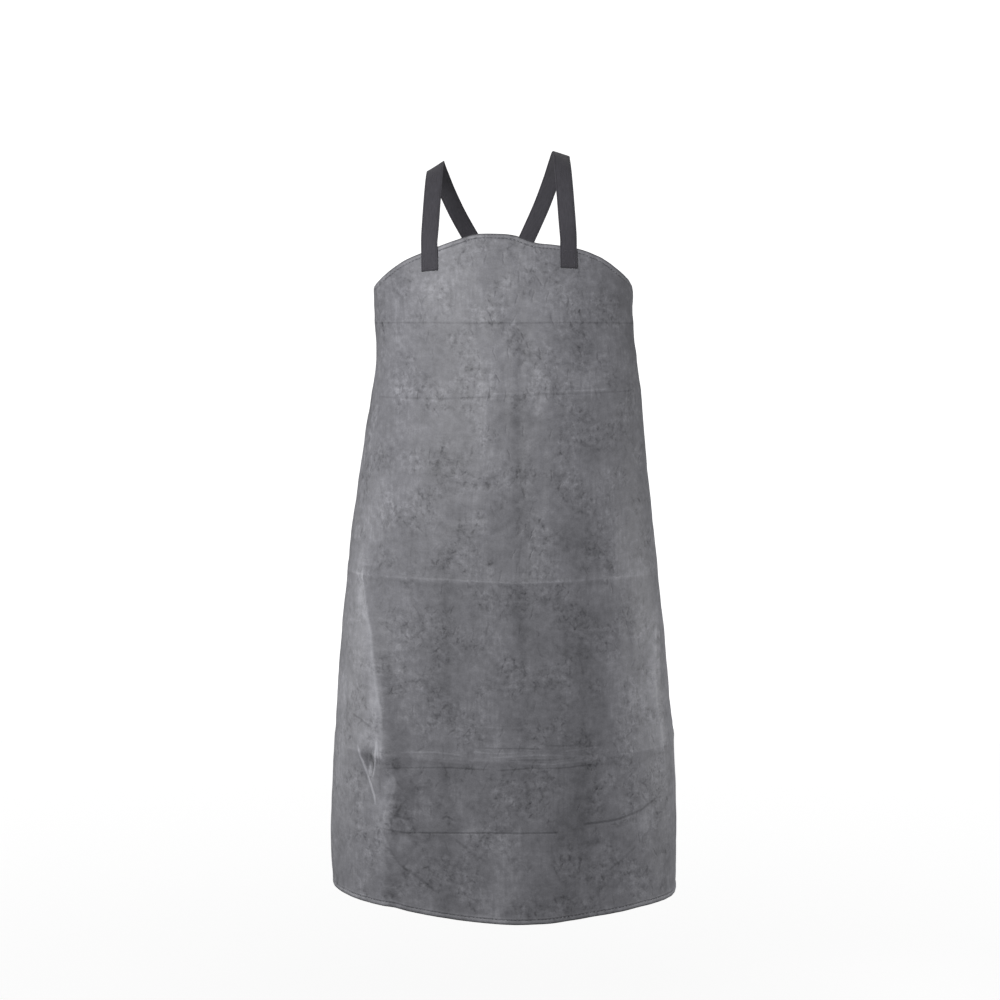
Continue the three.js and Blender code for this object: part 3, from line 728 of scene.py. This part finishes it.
def add_shades(tree, value, colours):
    """Colours a value, from the colours given at two or more of its steps"""
    shades = add_node(tree, "ShaderNodeValToRGB", {"Fac": value})
    steps = shades.color_ramp.elements
    (first, dark), *between, (last, pale) = colours.items()
    steps[0].position, steps[0].color = first, linear(dark)
    steps[1].position, steps[1].color = last, linear(pale)
    for position, colour in between:
        steps.new(position).color = linear(colour)
    return shades.outputs["Color"]


def add_surface(tree, fields, sums, colours, look):
    """The surface of a material from its sums of fields: the tone of its colour and its height"""
    tone, height = (add_sum(tree, fields, sums[name]) for name in ("tone", "height"))
    shades = add_shades(tree, tone, colours)
    bump = add_node(tree, "ShaderNodeBump", {"Height": height, "Distance": mm, "Strength": 1.0})
    spec = {"Base Color": shades, "Normal": bump.outputs[0], **look}
    skin = add_node(tree, "ShaderNodeBsdfPrincipled", spec)
    add_node(tree, "ShaderNodeOutputMaterial", {"Surface": skin.outputs[0]})


# Rubber-coated cloth: a matt grey rubber skin on woven cloth, dusted with chalk. The chalk gives
# soft clouds, the handling dark flecks and short crinkles that keep to patches, and the making of
# the sheet faint lines down the cloth. The real grain is finer than a photo shows, so this one is
# drawn coarser.
coated, tree = empty_material("rubber_coated_cloth")
place = add_node(tree, "ShaderNodeAttribute", attribute_name="cloth_place")
parts = add_node(tree, "ShaderNodeSeparateXYZ", {0: place.outputs["Vector"]})
flat = add_node(tree, "ShaderNodeCombineXYZ", {0: parts.outputs[0], 1: parts.outputs[1]})

# Width and height of each pattern on the cloth in millimetres, and its octaves of finer detail
patterns = {
    "clouds": {"width": 52, "height": 60, "detail": 2, "rough": 0.5},
    "blotches": {"width": 14, "height": 14, "detail": 5, "rough": 0.68},
    "flecks": {"width": 8, "height": 9, "detail": 2, "rough": 0.55},
    "streaks": {"width": 5, "height": 36, "detail": 1, "rough": 0.5},
    "grain": {"width": 2.6, "height": 2.8, "detail": 1, "rough": 0.5},
    "busy_patches": {"width": 62, "height": 74, "detail": 1, "rough": 0.5},
    "streaky_patches": {"width": 80, "height": 130, "detail": 1, "rough": 0.5},
}
pattern_shift = (17.3, 5.1)
fields = {}
for index, (name, pattern) in enumerate(patterns.items()):
    shift = (pattern_shift[0] * index, pattern_shift[1] * index, 0)
    fields[name] = add_noise(tree, flat.outputs[0], pattern, shift)

# Short crinkles: in most cells of a scattered pattern one stroke, turned its own way and bent by a
# soft noise. Width and height of the cells in millimetres, half length and half thickness of the
# strokes as shares of them, and how far round a stroke may turn, in radians
crinkles = {
    "small_crinkles": {"width": 10, "height": 11, "long": 0.46, "thick": 0.3, "turn": 1.5, "seed": 0.0},
    "crinkles": {"width": 17, "height": 20, "long": 0.42, "thick": 0.2, "turn": 1.1, "seed": 3.1},
    "long_crinkles": {"width": 28, "height": 36, "long": 0.4, "thick": 0.1, "turn": 0.9, "seed": 7.3},
}
stroke_middle = 0.4
stroke_chance = (0.35, 0.8)
bend_width = 13 * mm
bend_reach = 8 * mm
spec = {"Vector": flat.outputs[0], "Scale": 1 / bend_width, "Detail": 1}
wander = add_node(tree, "ShaderNodeTexNoise", spec).outputs["Color"]
spec = {0: wander, 1: (bend_reach, bend_reach, 0), 2: flat.outputs[0]}
bent = add_node(tree, "ShaderNodeVectorMath", spec, operation="MULTIPLY_ADD").outputs[0]
for name, kind in crinkles.items():
    spread = add_spread(tree, bent, kind, (kind["seed"], kind["seed"], 0))
    cells = add_node(tree, "ShaderNodeTexVoronoi", {"Vector": spread, "Scale": 1}, voronoi_dimensions="2D")
    spec = {0: spread, 1: cells.outputs["Position"]}
    local = add_node(tree, "ShaderNodeVectorMath", spec, operation="SUBTRACT")
    dice = add_node(tree, "ShaderNodeSeparateColor", {0: cells.outputs["Color"]})
    spec = {"Value": dice.outputs[0], "To Min": -kind["turn"], "To Max": kind["turn"]}
    angle = add_node(tree, "ShaderNodeMapRange", spec).outputs[0]
    spec = {"Vector": local.outputs[0], "Angle": angle}
    turned = add_node(tree, "ShaderNodeVectorRotate", spec, rotation_type="Z_AXIS").outputs[0]
    turned = add_node(tree, "ShaderNodeSeparateXYZ", {0: turned})
    side = add_math(tree, "ABSOLUTE", turned.outputs[0])
    along = add_math(tree, "ABSOLUTE", turned.outputs[1])
    stroke = 1.0
    for value, start, end in (
        (side, kind["thick"], 0.0),
        (along, kind["long"], kind["long"] * stroke_middle),
        (dice.outputs[1], *stroke_chance),
    ):
        stroke = add_math(tree, "MULTIPLY", stroke, add_step(tree, value, start, end))
    fields[name] = stroke

# The stored tone: wear and smudges, with painted highlights and painted shade
worn = add_node(tree, "ShaderNodeAttribute", attribute_name="rubbed")
fields["rubbed"] = worn.outputs["Fac"]
fields["from_cut"] = parts.outputs[2]
for name in ("packing_line", "wear_line"):
    stored = add_node(tree, "ShaderNodeAttribute", attribute_name=name)
    values = add_node(tree, "ShaderNodeSeparateXYZ", {0: stored.outputs["Vector"]})
    fields[name] = add_math(tree, "ABSOLUTE", values.outputs[0])
    fields[name + "_ridge"] = values.outputs[1]
    fields[name + "_tone"] = values.outputs[2]

# Where a value counts in full and where it no longer counts
steps = {
    "busy": ("busy_patches", 0.6, 0.42),
    "streaky": ("streaky_patches", 0.62, 0.45),
    "dark_flecks": ("flecks", 0.74, 0.56),
    "on_packing_line": ("packing_line", 0.3 * mm, 3.0 * mm),
    "on_wear_line": ("wear_line", 0.3 * mm, 4.0 * mm),
    "rim": ("from_cut", 1.0 * mm, 3.2 * mm),
    "inside_rim": ("from_cut", 5.5 * mm, 3.5 * mm),
    "outside_groove": ("from_cut", 6.0 * mm, 7.8 * mm),
    "past_groove": ("from_cut", 8.4 * mm, 7.4 * mm),
    "before_groove": ("from_cut", 8.8 * mm, 10.0 * mm),
}
for name, (source, full, none) in steps.items():
    fields[name] = add_step(tree, fields[source], none, full)

# Values that count only where another does
products = {
    "busy_flecks": ("dark_flecks", "busy"),
    "busy_small_crinkles": ("small_crinkles", "busy"),
    "busy_crinkles": ("crinkles", "busy"),
    "streaks_there": ("streaks", "streaky"),
    "busy_blotches": ("blotches", "busy"),
    # The tones on the sharp lines are partly wear, and partly painted highlights on their ridges and
    # painted shade in their grooves
    "packing_ridge": ("on_packing_line", "packing_line_ridge"),
    "packing_tone": ("on_packing_line", "packing_line_tone"),
    "wear_ridge": ("on_wear_line", "wear_line_ridge"),
    "wear_tone": ("on_wear_line", "wear_line_tone"),
    "clouds_by_wear_and_light": ("rubbed", "clouds"),
    "turned_band": ("inside_rim", "outside_groove"),
    # The stitch groove is also darkened in colour, as painted shade
    "groove": ("past_groove", "before_groove"),
}
for name, (first, second) in products.items():
    fields[name] = add_math(tree, "MULTIPLY", fields[first], fields[second])

# Shade of the coating from 0 dark to 1 pale, and height of its surface in millimetres
sums = {
    "tone": {
        "start": -0.15, "clouds": 0.34, "blotches": 0.62, "busy_blotches": 0.46, "busy": -0.24,
        "streaks_there": 0.16, "streaks": 0.07, "grain": 0.16, "busy_flecks": -0.17,
        "busy_small_crinkles": -0.13, "busy_crinkles": -0.17, "long_crinkles": -0.09, "rubbed": 0.07,
        "clouds_by_wear_and_light": 0.08, "packing_tone": 0.2, "wear_tone": 0.22, "rim": -0.4, "turned_band": 0.08,
        "groove": -0.36,
    },
    "height": {
        "start": 0.0, "blotches": 0.3, "streaks_there": 0.06, "grain": 0.04, "busy_small_crinkles": -0.22,
        "busy_crinkles": -0.36, "long_crinkles": -0.34, "busy_flecks": -0.14, "packing_ridge": 0.9,
        "wear_ridge": 1.0,
    },
}
greys = {0: "#3f3f43", 0.5: "#747479", 1: "#a4a4aa"}
add_surface(tree, fields, sums, greys, {"Roughness": 0.58, "IOR": 1.5})
mesh.materials.append(coated)

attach(sheet, "root")
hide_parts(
    "apron_panel",
    "bib_hem",
    "armhole_hem_left",
    "armhole_hem_right",
    "side_hem_left",
    "side_hem_right",
    "bottom_hem",
)

# Hem stitches
# One row of pale thread holds the turned edge all round, seen on the face and on the back. Each
# stitch is a short run of thread that dips into the cloth at its two ends.
stitch_pitch = 7 * mm
stitch_length = 4.8 * mm
thread_radius = 0.45 * mm
thread_sides = 6

# Rings of one stitch: shares along it, and rise and girth as shares of the thread's radius
thread_rings = {
    "along": [0, 0.14, 0.5, 0.86, 1],
    "rise": [-0.9, 0.45, 0.8, 0.45, -0.9],
    "girth": [0.6, 1, 1, 1, 0.6],
}


def at_distances(at, runs, vectors):
    """Vectors between those given at some distances along a path"""
    return np.stack([np.interp(at, runs, vectors[:, axis]) for axis in range(3)], axis=-1)


def stitched(path, outward):
    """Corners and faces of a row of stitches on a path, with the direction outwards from the cloth"""
    runs = distances_along(path)
    count = int(runs[-1] / stitch_pitch)
    starts = (np.arange(count) + 0.5) * runs[-1] / count - stitch_length / 2
    shares = np.array(thread_rings["along"])
    at = starts[:, None] + shares[None, :] * stitch_length
    centre = at_distances(at, runs, path)
    up = unit(at_distances(at, runs, outward))
    side = np.cross(unit(centre[:, -1:] - centre[:, :1]), up)
    centre = centre + up * thread_radius * np.array(thread_rings["rise"])[None, :, None]
    turns = np.linspace(0, 2 * np.pi, thread_sides, endpoint=False)
    girth = thread_radius * np.array(thread_rings["girth"])[None, :, None, None]
    ring = side[:, :, None] * np.cos(turns)[:, None] + up[:, :, None] * np.sin(turns)[:, None]
    corners = (centre[:, :, None] + girth * ring).reshape(-1, 3)
    faces = []
    for first in range(0, len(corners), len(shares) * thread_sides):
        for step in range(len(shares) - 1):
            here = first + step * thread_sides
            for k in range(thread_sides):
                after = (k + 1) % thread_sides
                faces.append((here + k, here + k + thread_sides, here + after + thread_sides, here + after))
        last = first + (len(shares) - 1) * thread_sides
        faces.append(tuple(range(first, first + thread_sides)))
        faces.append(tuple(range(last + thread_sides - 1, last - 1, -1)))
    return corners, faces


def make_mesh(name, parts, material):
    """One object from several lists of corners and faces"""
    corners, faces, first = [], [], 0
    for part_corners, part_faces in parts:
        corners.append(part_corners)
        faces += [tuple(first + k for k in face) for face in part_faces]
        first += len(part_corners)
    made = bpy.data.meshes.new(name)
    made.from_pydata(np.concatenate(corners).tolist(), [], faces)
    made.shade_smooth()
    made.materials.append(material)
    return add_object(name, made)


# The thread is soiled in stretches of about 17 mm
soil_width = 1 / 60


def make_thread(name, dark, pale):
    """Polyester thread: a twisted yarn with a faint sheen, too fine for its twist to show"""
    made = bpy.data.materials.new(name)
    made.use_nodes = True
    tree = made.node_tree
    place = add_node(tree, "ShaderNodeTexCoord")
    spec = {"Vector": place.outputs["Object"], "Scale": 1 / soil_width, "Detail": 3}
    soil = add_node(tree, "ShaderNodeTexNoise", spec)
    shades = add_shades(tree, soil.outputs["Fac"], {0.35: dark, 0.65: pale})
    shader = tree.nodes["Principled BSDF"]
    tree.links.new(shades, shader.inputs["Base Color"])
    shader.inputs["Roughness"].default_value = 0.6
    return made


thread = make_thread("polyester_thread", "#5f5f65", "#9c9ca2")

# One path along the top edge and the armholes, one down each side and one along the bottom. The
# top edge is longer than the sheet is wide by this share.
path_step = 3 * mm
top_longer = 1.3
stitch_side = half_panel - stitch_line
top_columns = np.linspace(-stitch_side, stitch_side, int(top_longer * panel_width / path_step))
side_downs = np.arange(armhole_depth + stitch_line, panel_length - bottom_sweep, path_step)
bottom_columns = np.linspace(-stitch_side, stitch_side, int(panel_width / path_step))
stitch_paths = [
    inside_top_edge(top_columns, stitch_line),
    (np.full(side_downs.shape, -stitch_side), side_downs),
    (np.full(side_downs.shape, stitch_side), side_downs),
    (bottom_columns, bottom_down(bottom_columns) - stitch_line),
]
hem_rows = []
for across, down in stitch_paths:
    spots, facing = place_on_form(across, down), facing_on_form(across, down)
    rise = panel_wall / 2 + relief(across, down)
    for surface, outward in (("face", 1), ("back", -1)):
        height = rise + mm * read(turned_edge, "inside", surface, stitch_line / mm)
        hem_rows.append(stitched(spots + facing * height[:, None], facing * outward))
hem_thread = make_mesh("hem_stitches", hem_rows, thread)
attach(hem_thread, "root")


# Shoulder straps
# Two straps of dark grey plain-woven webbing. Each is sewn flat on the face of the bib, goes over
# the shoulder, crosses the other behind and is sewn to the waist corner on the other side.
strap_wall = 1.8 * mm
strap_lap = 41 * mm
strap_gap = 0.5 * mm
cross_gap = 1.2 * mm
crest_step = 24 * mm
strap_back = 142 * mm
strap_cross = 230 * mm
waist_below = 30 * mm
waist_slant = np.radians(40)
leave_length = 14 * mm
route_steps = 24
strap_step = 4 * mm
slant_limit = 0.5
lap_shares = [1, 0.66, 0.33, 0]
hem_rise = max(turned_edge["face"]) * mm

# Free run from the bib to the shoulder: shares of the way back and up, and where the face looks
chest_run = [
    (0.08, 0.26, (0, -0.97, 0.24)),
    (0.2, 0.53, (0, -0.88, 0.47)),
    (0.41, 0.78, (0.12, -0.68, 0.72)),
    (0.69, 0.94, (0.35, -0.36, 0.86)),
]
# Run behind, from the shoulder to the crossing: shares across, back and down, and the facing
blade_run = [
    (0.94, 0.31, 0.05, (0.42, 0.36, 0.83)),
    (0.85, 0.58, 0.17, (0.32, 0.68, 0.66)),
    (0.69, 0.79, 0.36, (0.2, 0.9, 0.38)),
    (0.47, 0.93, 0.58, (0.1, 0.97, 0.2)),
    (0.24, 0.985, 0.8, (0.04, 0.99, 0.08)),
    (0, 1, 1, (0, 1, 0.02)),
]
# Run from the crossing to the waist corner: shares across, forwards and down, and the facing
waist_run = [
    (0.25, 0.04, 0.3, (-0.12, 0.99, 0)),
    (0.52, 0.17, 0.58, (-0.27, 0.96, 0)),
    (0.78, 0.47, 0.82, (-0.52, 0.85, 0)),
]
# Section of the webbing in millimetres, 32 wide: its woven edge is a thin cord past a narrow groove
web_section = {
    "across": [-16, -15.8, -15.2, -14, -13.4, -12.8, -8, -4, 0, 4, 8, 12.8, 13.4, 14, 15.2, 15.8, 16],
    "rise": [0, 0.45, 0.8, 0.85, 0.6, 0.9, 0.9, 0.9, 0.9, 0.9, 0.9, 0.9, 0.6, 0.85, 0.8, 0.45, 0],
}
straps = [
    {"name": "strap_left_webbing", "node": "strap_left", "side": -1, "bib": 136 * mm, "crest": 126 * mm,
     "up": -crest_step / 2, "lean": np.radians(35), "layer": 1},
    {"name": "strap_right_webbing", "node": "strap_right", "side": 1, "bib": 121 * mm, "crest": 110 * mm,
     "up": crest_step / 2, "lean": np.radians(17), "layer": 0},
]


def strap_route(strap):
    """Stops of one strap from its end on the bib to its end at the opposite waist corner"""
    side = strap["side"]
    stops = []

    def add(spot, facing, slantwise=0):
        stops.append((np.array(spot, float), unit(np.array(facing, float)), slantwise))

    def add_on_sheet(across, down):
        across, down = np.array([across]), np.array([down])
        facing = facing_on_form(across, down)[0]
        inside = panel_wall / 2 + hem_rise + strap_gap + strap_wall / 2
        add(place_on_form(across, down)[0] + facing * (inside + relief(across, down)[0]), facing)

    across = side * strap["bib"]
    edge = bib_drop * read(bib_edge, "across", "drop", across / half_bib)
    for share in lap_shares:
        add_on_sheet(across, edge + strap_lap * share)
    add_on_sheet(across, edge - leave_length)
    bib = stops[-1][0]
    crest = np.array([side * strap["crest"], 0, strap["up"]])
    for back, up, facing in chest_run:
        spot = (mix(bib[0], crest[0], up), mix(bib[1], 0, back), mix(bib[2], crest[2], up))
        add(spot, (side * facing[0], facing[1], facing[2]), 1)
    add(crest, (side * np.sin(strap["lean"]), 0, np.cos(strap["lean"])), 1)
    behind = strap_back + strap["layer"] * (strap_wall + cross_gap)
    for out, back, fall, facing in blade_run:
        spot = (crest[0] * out, behind * back, mix(crest[2], -strap_cross, fall))
        add(spot, (side * facing[0], facing[1], facing[2]))

    def waist_place(run):
        return (
            -side * (half_panel - np.cos(waist_slant) * run),
            armhole_depth + waist_below + np.sin(waist_slant) * run,
        )

    waist = place_on_form(*(np.array([value]) for value in waist_place(-leave_length)))[0]
    for out, forward, fall, facing in waist_run:
        spot = (waist[0] * out, mix(behind, waist[1], forward), mix(-strap_cross, waist[2], fall))
        add(spot, (side * facing[0], facing[1], facing[2]))
    add_on_sheet(*waist_place(-leave_length))
    for share in lap_shares[::-1]:
        add_on_sheet(*waist_place(strap_lap * share))
    return stops


def strap_line(stops):
    """Even points along a smooth line through the stops, with the facing and the way at each"""
    spots = np.array([stop[0] for stop in stops])
    facings = np.array([stop[1] for stop in stops])
    padded = np.concatenate([[2 * spots[0] - spots[1]], spots, [2 * spots[-1] - spots[-2]]])
    t = np.linspace(0, 1, route_steps, endpoint=False)[:, None]
    line, looks, slants = [], [], []
    for k in range(len(spots) - 1):
        p0, p1, p2, p3 = padded[k:k + 4]
        d0, d1, d2 = (np.sqrt(np.linalg.norm(b - a)) for a, b in ((p0, p1), (p1, p2), (p2, p3)))
        pull = d1 * ((p1 - p0) / d0 - (p2 - p0) / (d0 + d1) + (p2 - p1) / d1)
        push = d1 * ((p2 - p1) / d1 - (p3 - p1) / (d1 + d2) + (p3 - p2) / d2)
        rise = p2 - p1
        line.append(p1 + t * pull + t**2 * (3 * rise - 2 * pull - push) + t**3 * (pull + push - 2 * rise))
        looks.append(mix(facings[k], facings[k + 1], t))
        slants.append(mix(stops[k][2], stops[k + 1][2], t[:, 0]))
    line = np.concatenate([*line, spots[-1:]])
    looks = np.concatenate([*looks, facings[-1:]])
    slants = np.concatenate([*slants, [0]])
    runs = distances_along(line)
    at = np.linspace(0, runs[-1], int(runs[-1] / strap_step))
    even = at_distances(at, runs, line)
    ways = unit(np.gradient(even, axis=0))
    sides = unit(np.cross(at_distances(at, runs, looks), ways))
    outward = np.cross(ways, sides)
    spread = mix(1, 1 / np.maximum(np.abs(sides[:, 0]), slant_limit), np.interp(at, runs, slants))
    return at, even, sides * spread[:, None], outward


# Polypropylene webbing: a plain weave of stout dark yarns, drawn coarser than the real one, with a
# cord woven into each edge
webbing, tree = empty_material("woven_webbing")
place = add_node(tree, "ShaderNodeAttribute", attribute_name="web_place")
parts = add_node(tree, "ShaderNodeSeparateXYZ", {0: place.outputs["Vector"]})
fields = {}
yarns = {"warp": {"pitch": 1.6 * mm, "part": 0}, "weft": {"pitch": 2.0 * mm, "part": 1}}
for name, yarn in yarns.items():
    turn = add_math(tree, "MULTIPLY", parts.outputs[yarn["part"]], 2 * np.pi / yarn["pitch"])
    fields[name] = add_math(tree, "SINE", turn)
fields["weave"] = add_math(tree, "MULTIPLY", fields["warp"], fields["weft"])
patterns = {
    "fuzz": {"width": 2.2, "height": 14, "detail": 3, "rough": 0.6},
    "shadows": {"width": 16, "height": 34, "detail": 3, "rough": 0.6},
}
for name, pattern in patterns.items():
    fields[name] = add_noise(tree, place.outputs["Vector"], pattern)

# The groove beside the corded edge is painted dark as shade: distances from the middle where its painted
# shade sets in
edge_groove = [(12.2 * mm, 13.3 * mm), (14.4 * mm, 13.5 * mm)]
away = add_math(tree, "ABSOLUTE", parts.outputs[0])
fields["groove_shade"] = 1.0
for start, end in edge_groove:
    step = add_step(tree, away, start, end)
    fields["groove_shade"] = add_math(tree, "MULTIPLY", fields["groove_shade"], step)
sums = {
    "tone": {"start": -0.1, "fuzz": 0.75, "shadows": 0.5, "weave": 0.06, "groove_shade": -0.3},
    "height": {"start": 0.0, "weave": 0.12, "fuzz": 0.2},
}
greys = {0: "#232227", 1: "#49474e"}
add_surface(tree, fields, sums, greys, {"Roughness": 0.8, "Sheen Weight": 0.1})

# Dark thread in a square block of stitches on each sewn end
dark_thread = make_thread("dark_polyester_thread", "#2a292e", "#55545a")
block_half = 10.5 * mm
block_ends = (5 * mm, 32 * mm)
block_stops = 9

section_across = np.array(web_section["across"] + web_section["across"][-2:0:-1]) * mm
section_rise = np.array(web_section["rise"] + [-rise for rise in web_section["rise"][-2:0:-1]]) * mm
for strap in straps:
    at, line, sides, outward = strap_line(strap_route(strap))
    around = len(section_across)
    corners = line[:, None] + sides[:, None] * section_across[None, :, None]
    corners = corners + outward[:, None] * section_rise[None, :, None]
    ids = np.arange(len(line) * around).reshape(len(line), around)
    after = np.roll(ids, -1, axis=1)
    quads = np.stack([ids[:-1], ids[1:], after[1:], after[:-1]], axis=-1).reshape(-1, 4)
    faces = [tuple(quad) for quad in quads.tolist()]
    faces += [tuple(ids[0].tolist()), tuple(ids[-1][::-1].tolist())]
    piece = make_mesh(strap["name"], [(corners.reshape(-1, 3), faces)], webbing)
    stored = piece.data.attributes.new("web_place", "FLOAT_VECTOR", "POINT")
    web_place = np.zeros((len(line), around, 3))
    web_place[..., 0] = section_across[None, :]
    web_place[..., 1] = at[:, None]
    stored.data.foreach_set("vector", web_place.astype(np.float32).ravel())
    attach(piece, "root")
    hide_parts(strap["node"])

    blocks = []
    for start, way in ((0, 1), (at[-1], -1)):
        near, far = (start + way * end for end in block_ends)
        loop = [(near, -block_half), (near, block_half), (far, block_half), (far, -block_half)]
        for (run_a, side_a), (run_b, side_b) in zip(loop, loop[1:] + loop[:1]):
            runs = np.linspace(run_a, run_b, block_stops)
            offsets = np.linspace(side_a, side_b, block_stops)
            spots, out, side = (at_distances(runs, at, vectors) for vectors in (line, outward, sides))
            blocks.append(stitched(spots + side * offsets[:, None] + out * strap_wall / 2, out))
    block = make_mesh(strap["name"] + "_stitches", blocks, dark_thread)
    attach(block, "root")


# Floor and light
# The apron hangs clear of a round pale floor that curves up into a pale wall on every side.
floor_level = -1.576
bowl = {"radius": [4, 5.6, 6.6, 7], "height": [0, 0.25, 1, 9]}
bowl_sides = 64
turns = np.arange(bowl_sides) * 2 * np.pi / bowl_sides
floor_points = [
    (radius * np.cos(turn), radius * np.sin(turn), floor_level + height)
    for radius, height in zip(bowl["radius"], bowl["height"])
    for turn in turns
]
floor_faces = [tuple(range(bowl_sides))]
for first in range(0, len(floor_points) - bowl_sides, bowl_sides):
    for side in range(bowl_sides):
        corner, after = first + side, first + (side + 1) % bowl_sides
        floor_faces.append((corner, after, after + bowl_sides, corner + bowl_sides))
floor_mesh = bpy.data.meshes.new("studio_floor")
floor_mesh.from_pydata(floor_points, [], floor_faces)
floor_mesh.shade_smooth()
floor = add_object("studio_floor", floor_mesh)
paint = bpy.data.materials.new("matt_white_paint")
paint.use_nodes = True
paint_shader = paint.node_tree.nodes["Principled BSDF"]
paint_shader.inputs["Base Color"].default_value = linear("#f4f4f4")
paint_shader.inputs["Roughness"].default_value = 0.9
paint_shader.inputs["Emission Color"].default_value = linear("#ffffff")
paint_shader.inputs["Emission Strength"].default_value = 0.95
floor.visible_diffuse = False
floor.visible_glossy = False
floor_mesh.materials.append(paint)
floor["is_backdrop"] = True

world = bpy.data.worlds.new("studio_air")
bpy.context.scene.world = world
world.use_nodes = True
world.node_tree.nodes["Background"].inputs["Color"].default_value = linear("#ffffff")
world.node_tree.nodes["Background"].inputs["Strength"].default_value = 0.22

lamps = [
    {"name": "key_lamp", "place": (-0.9, -2.05, 0.42), "aim": (0, -0.1, -0.6), "size": 0.9, "power": 51},
    {"name": "left_rim_lamp", "place": (-1.35, 0.1, -0.9), "aim": (0, 0, -0.85), "size": 0.8, "power": 7.5},
    {"name": "right_rim_lamp", "place": (1.35, 0, -0.95), "aim": (0, 0, -0.85), "size": 0.8, "power": 8},
]
for lamp in lamps:
    light = bpy.data.lights.new(lamp["name"], "AREA")
    light.size = lamp["size"]
    light.energy = lamp["power"]
    holder = add_object(lamp["name"], light)
    holder.location = lamp["place"]
    aim = Vector(lamp["aim"]) - Vector(lamp["place"])
    holder.rotation_euler = aim.to_track_quat("-Z", "Y").to_euler()
bpy.context.scene.view_settings.view_transform = "Standard"

# The camera stands 4.6 m in front, at the height of the lower ribs, and looks slightly down
camera_place = Vector((-4.75 * mm, -4.6, -0.4932))
camera_aim = Vector((-4.75 * mm, 0, -0.641))
camera_lens = 87.43
camera = add_object("camera", bpy.data.cameras.new("camera"))
camera.data.lens = camera_lens
camera.location = camera_place
camera.rotation_euler = (camera_aim - camera_place).to_track_quat("-Z", "Y").to_euler()
bpy.context.scene.camera = camera

visual_box = [list(corner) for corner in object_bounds()]
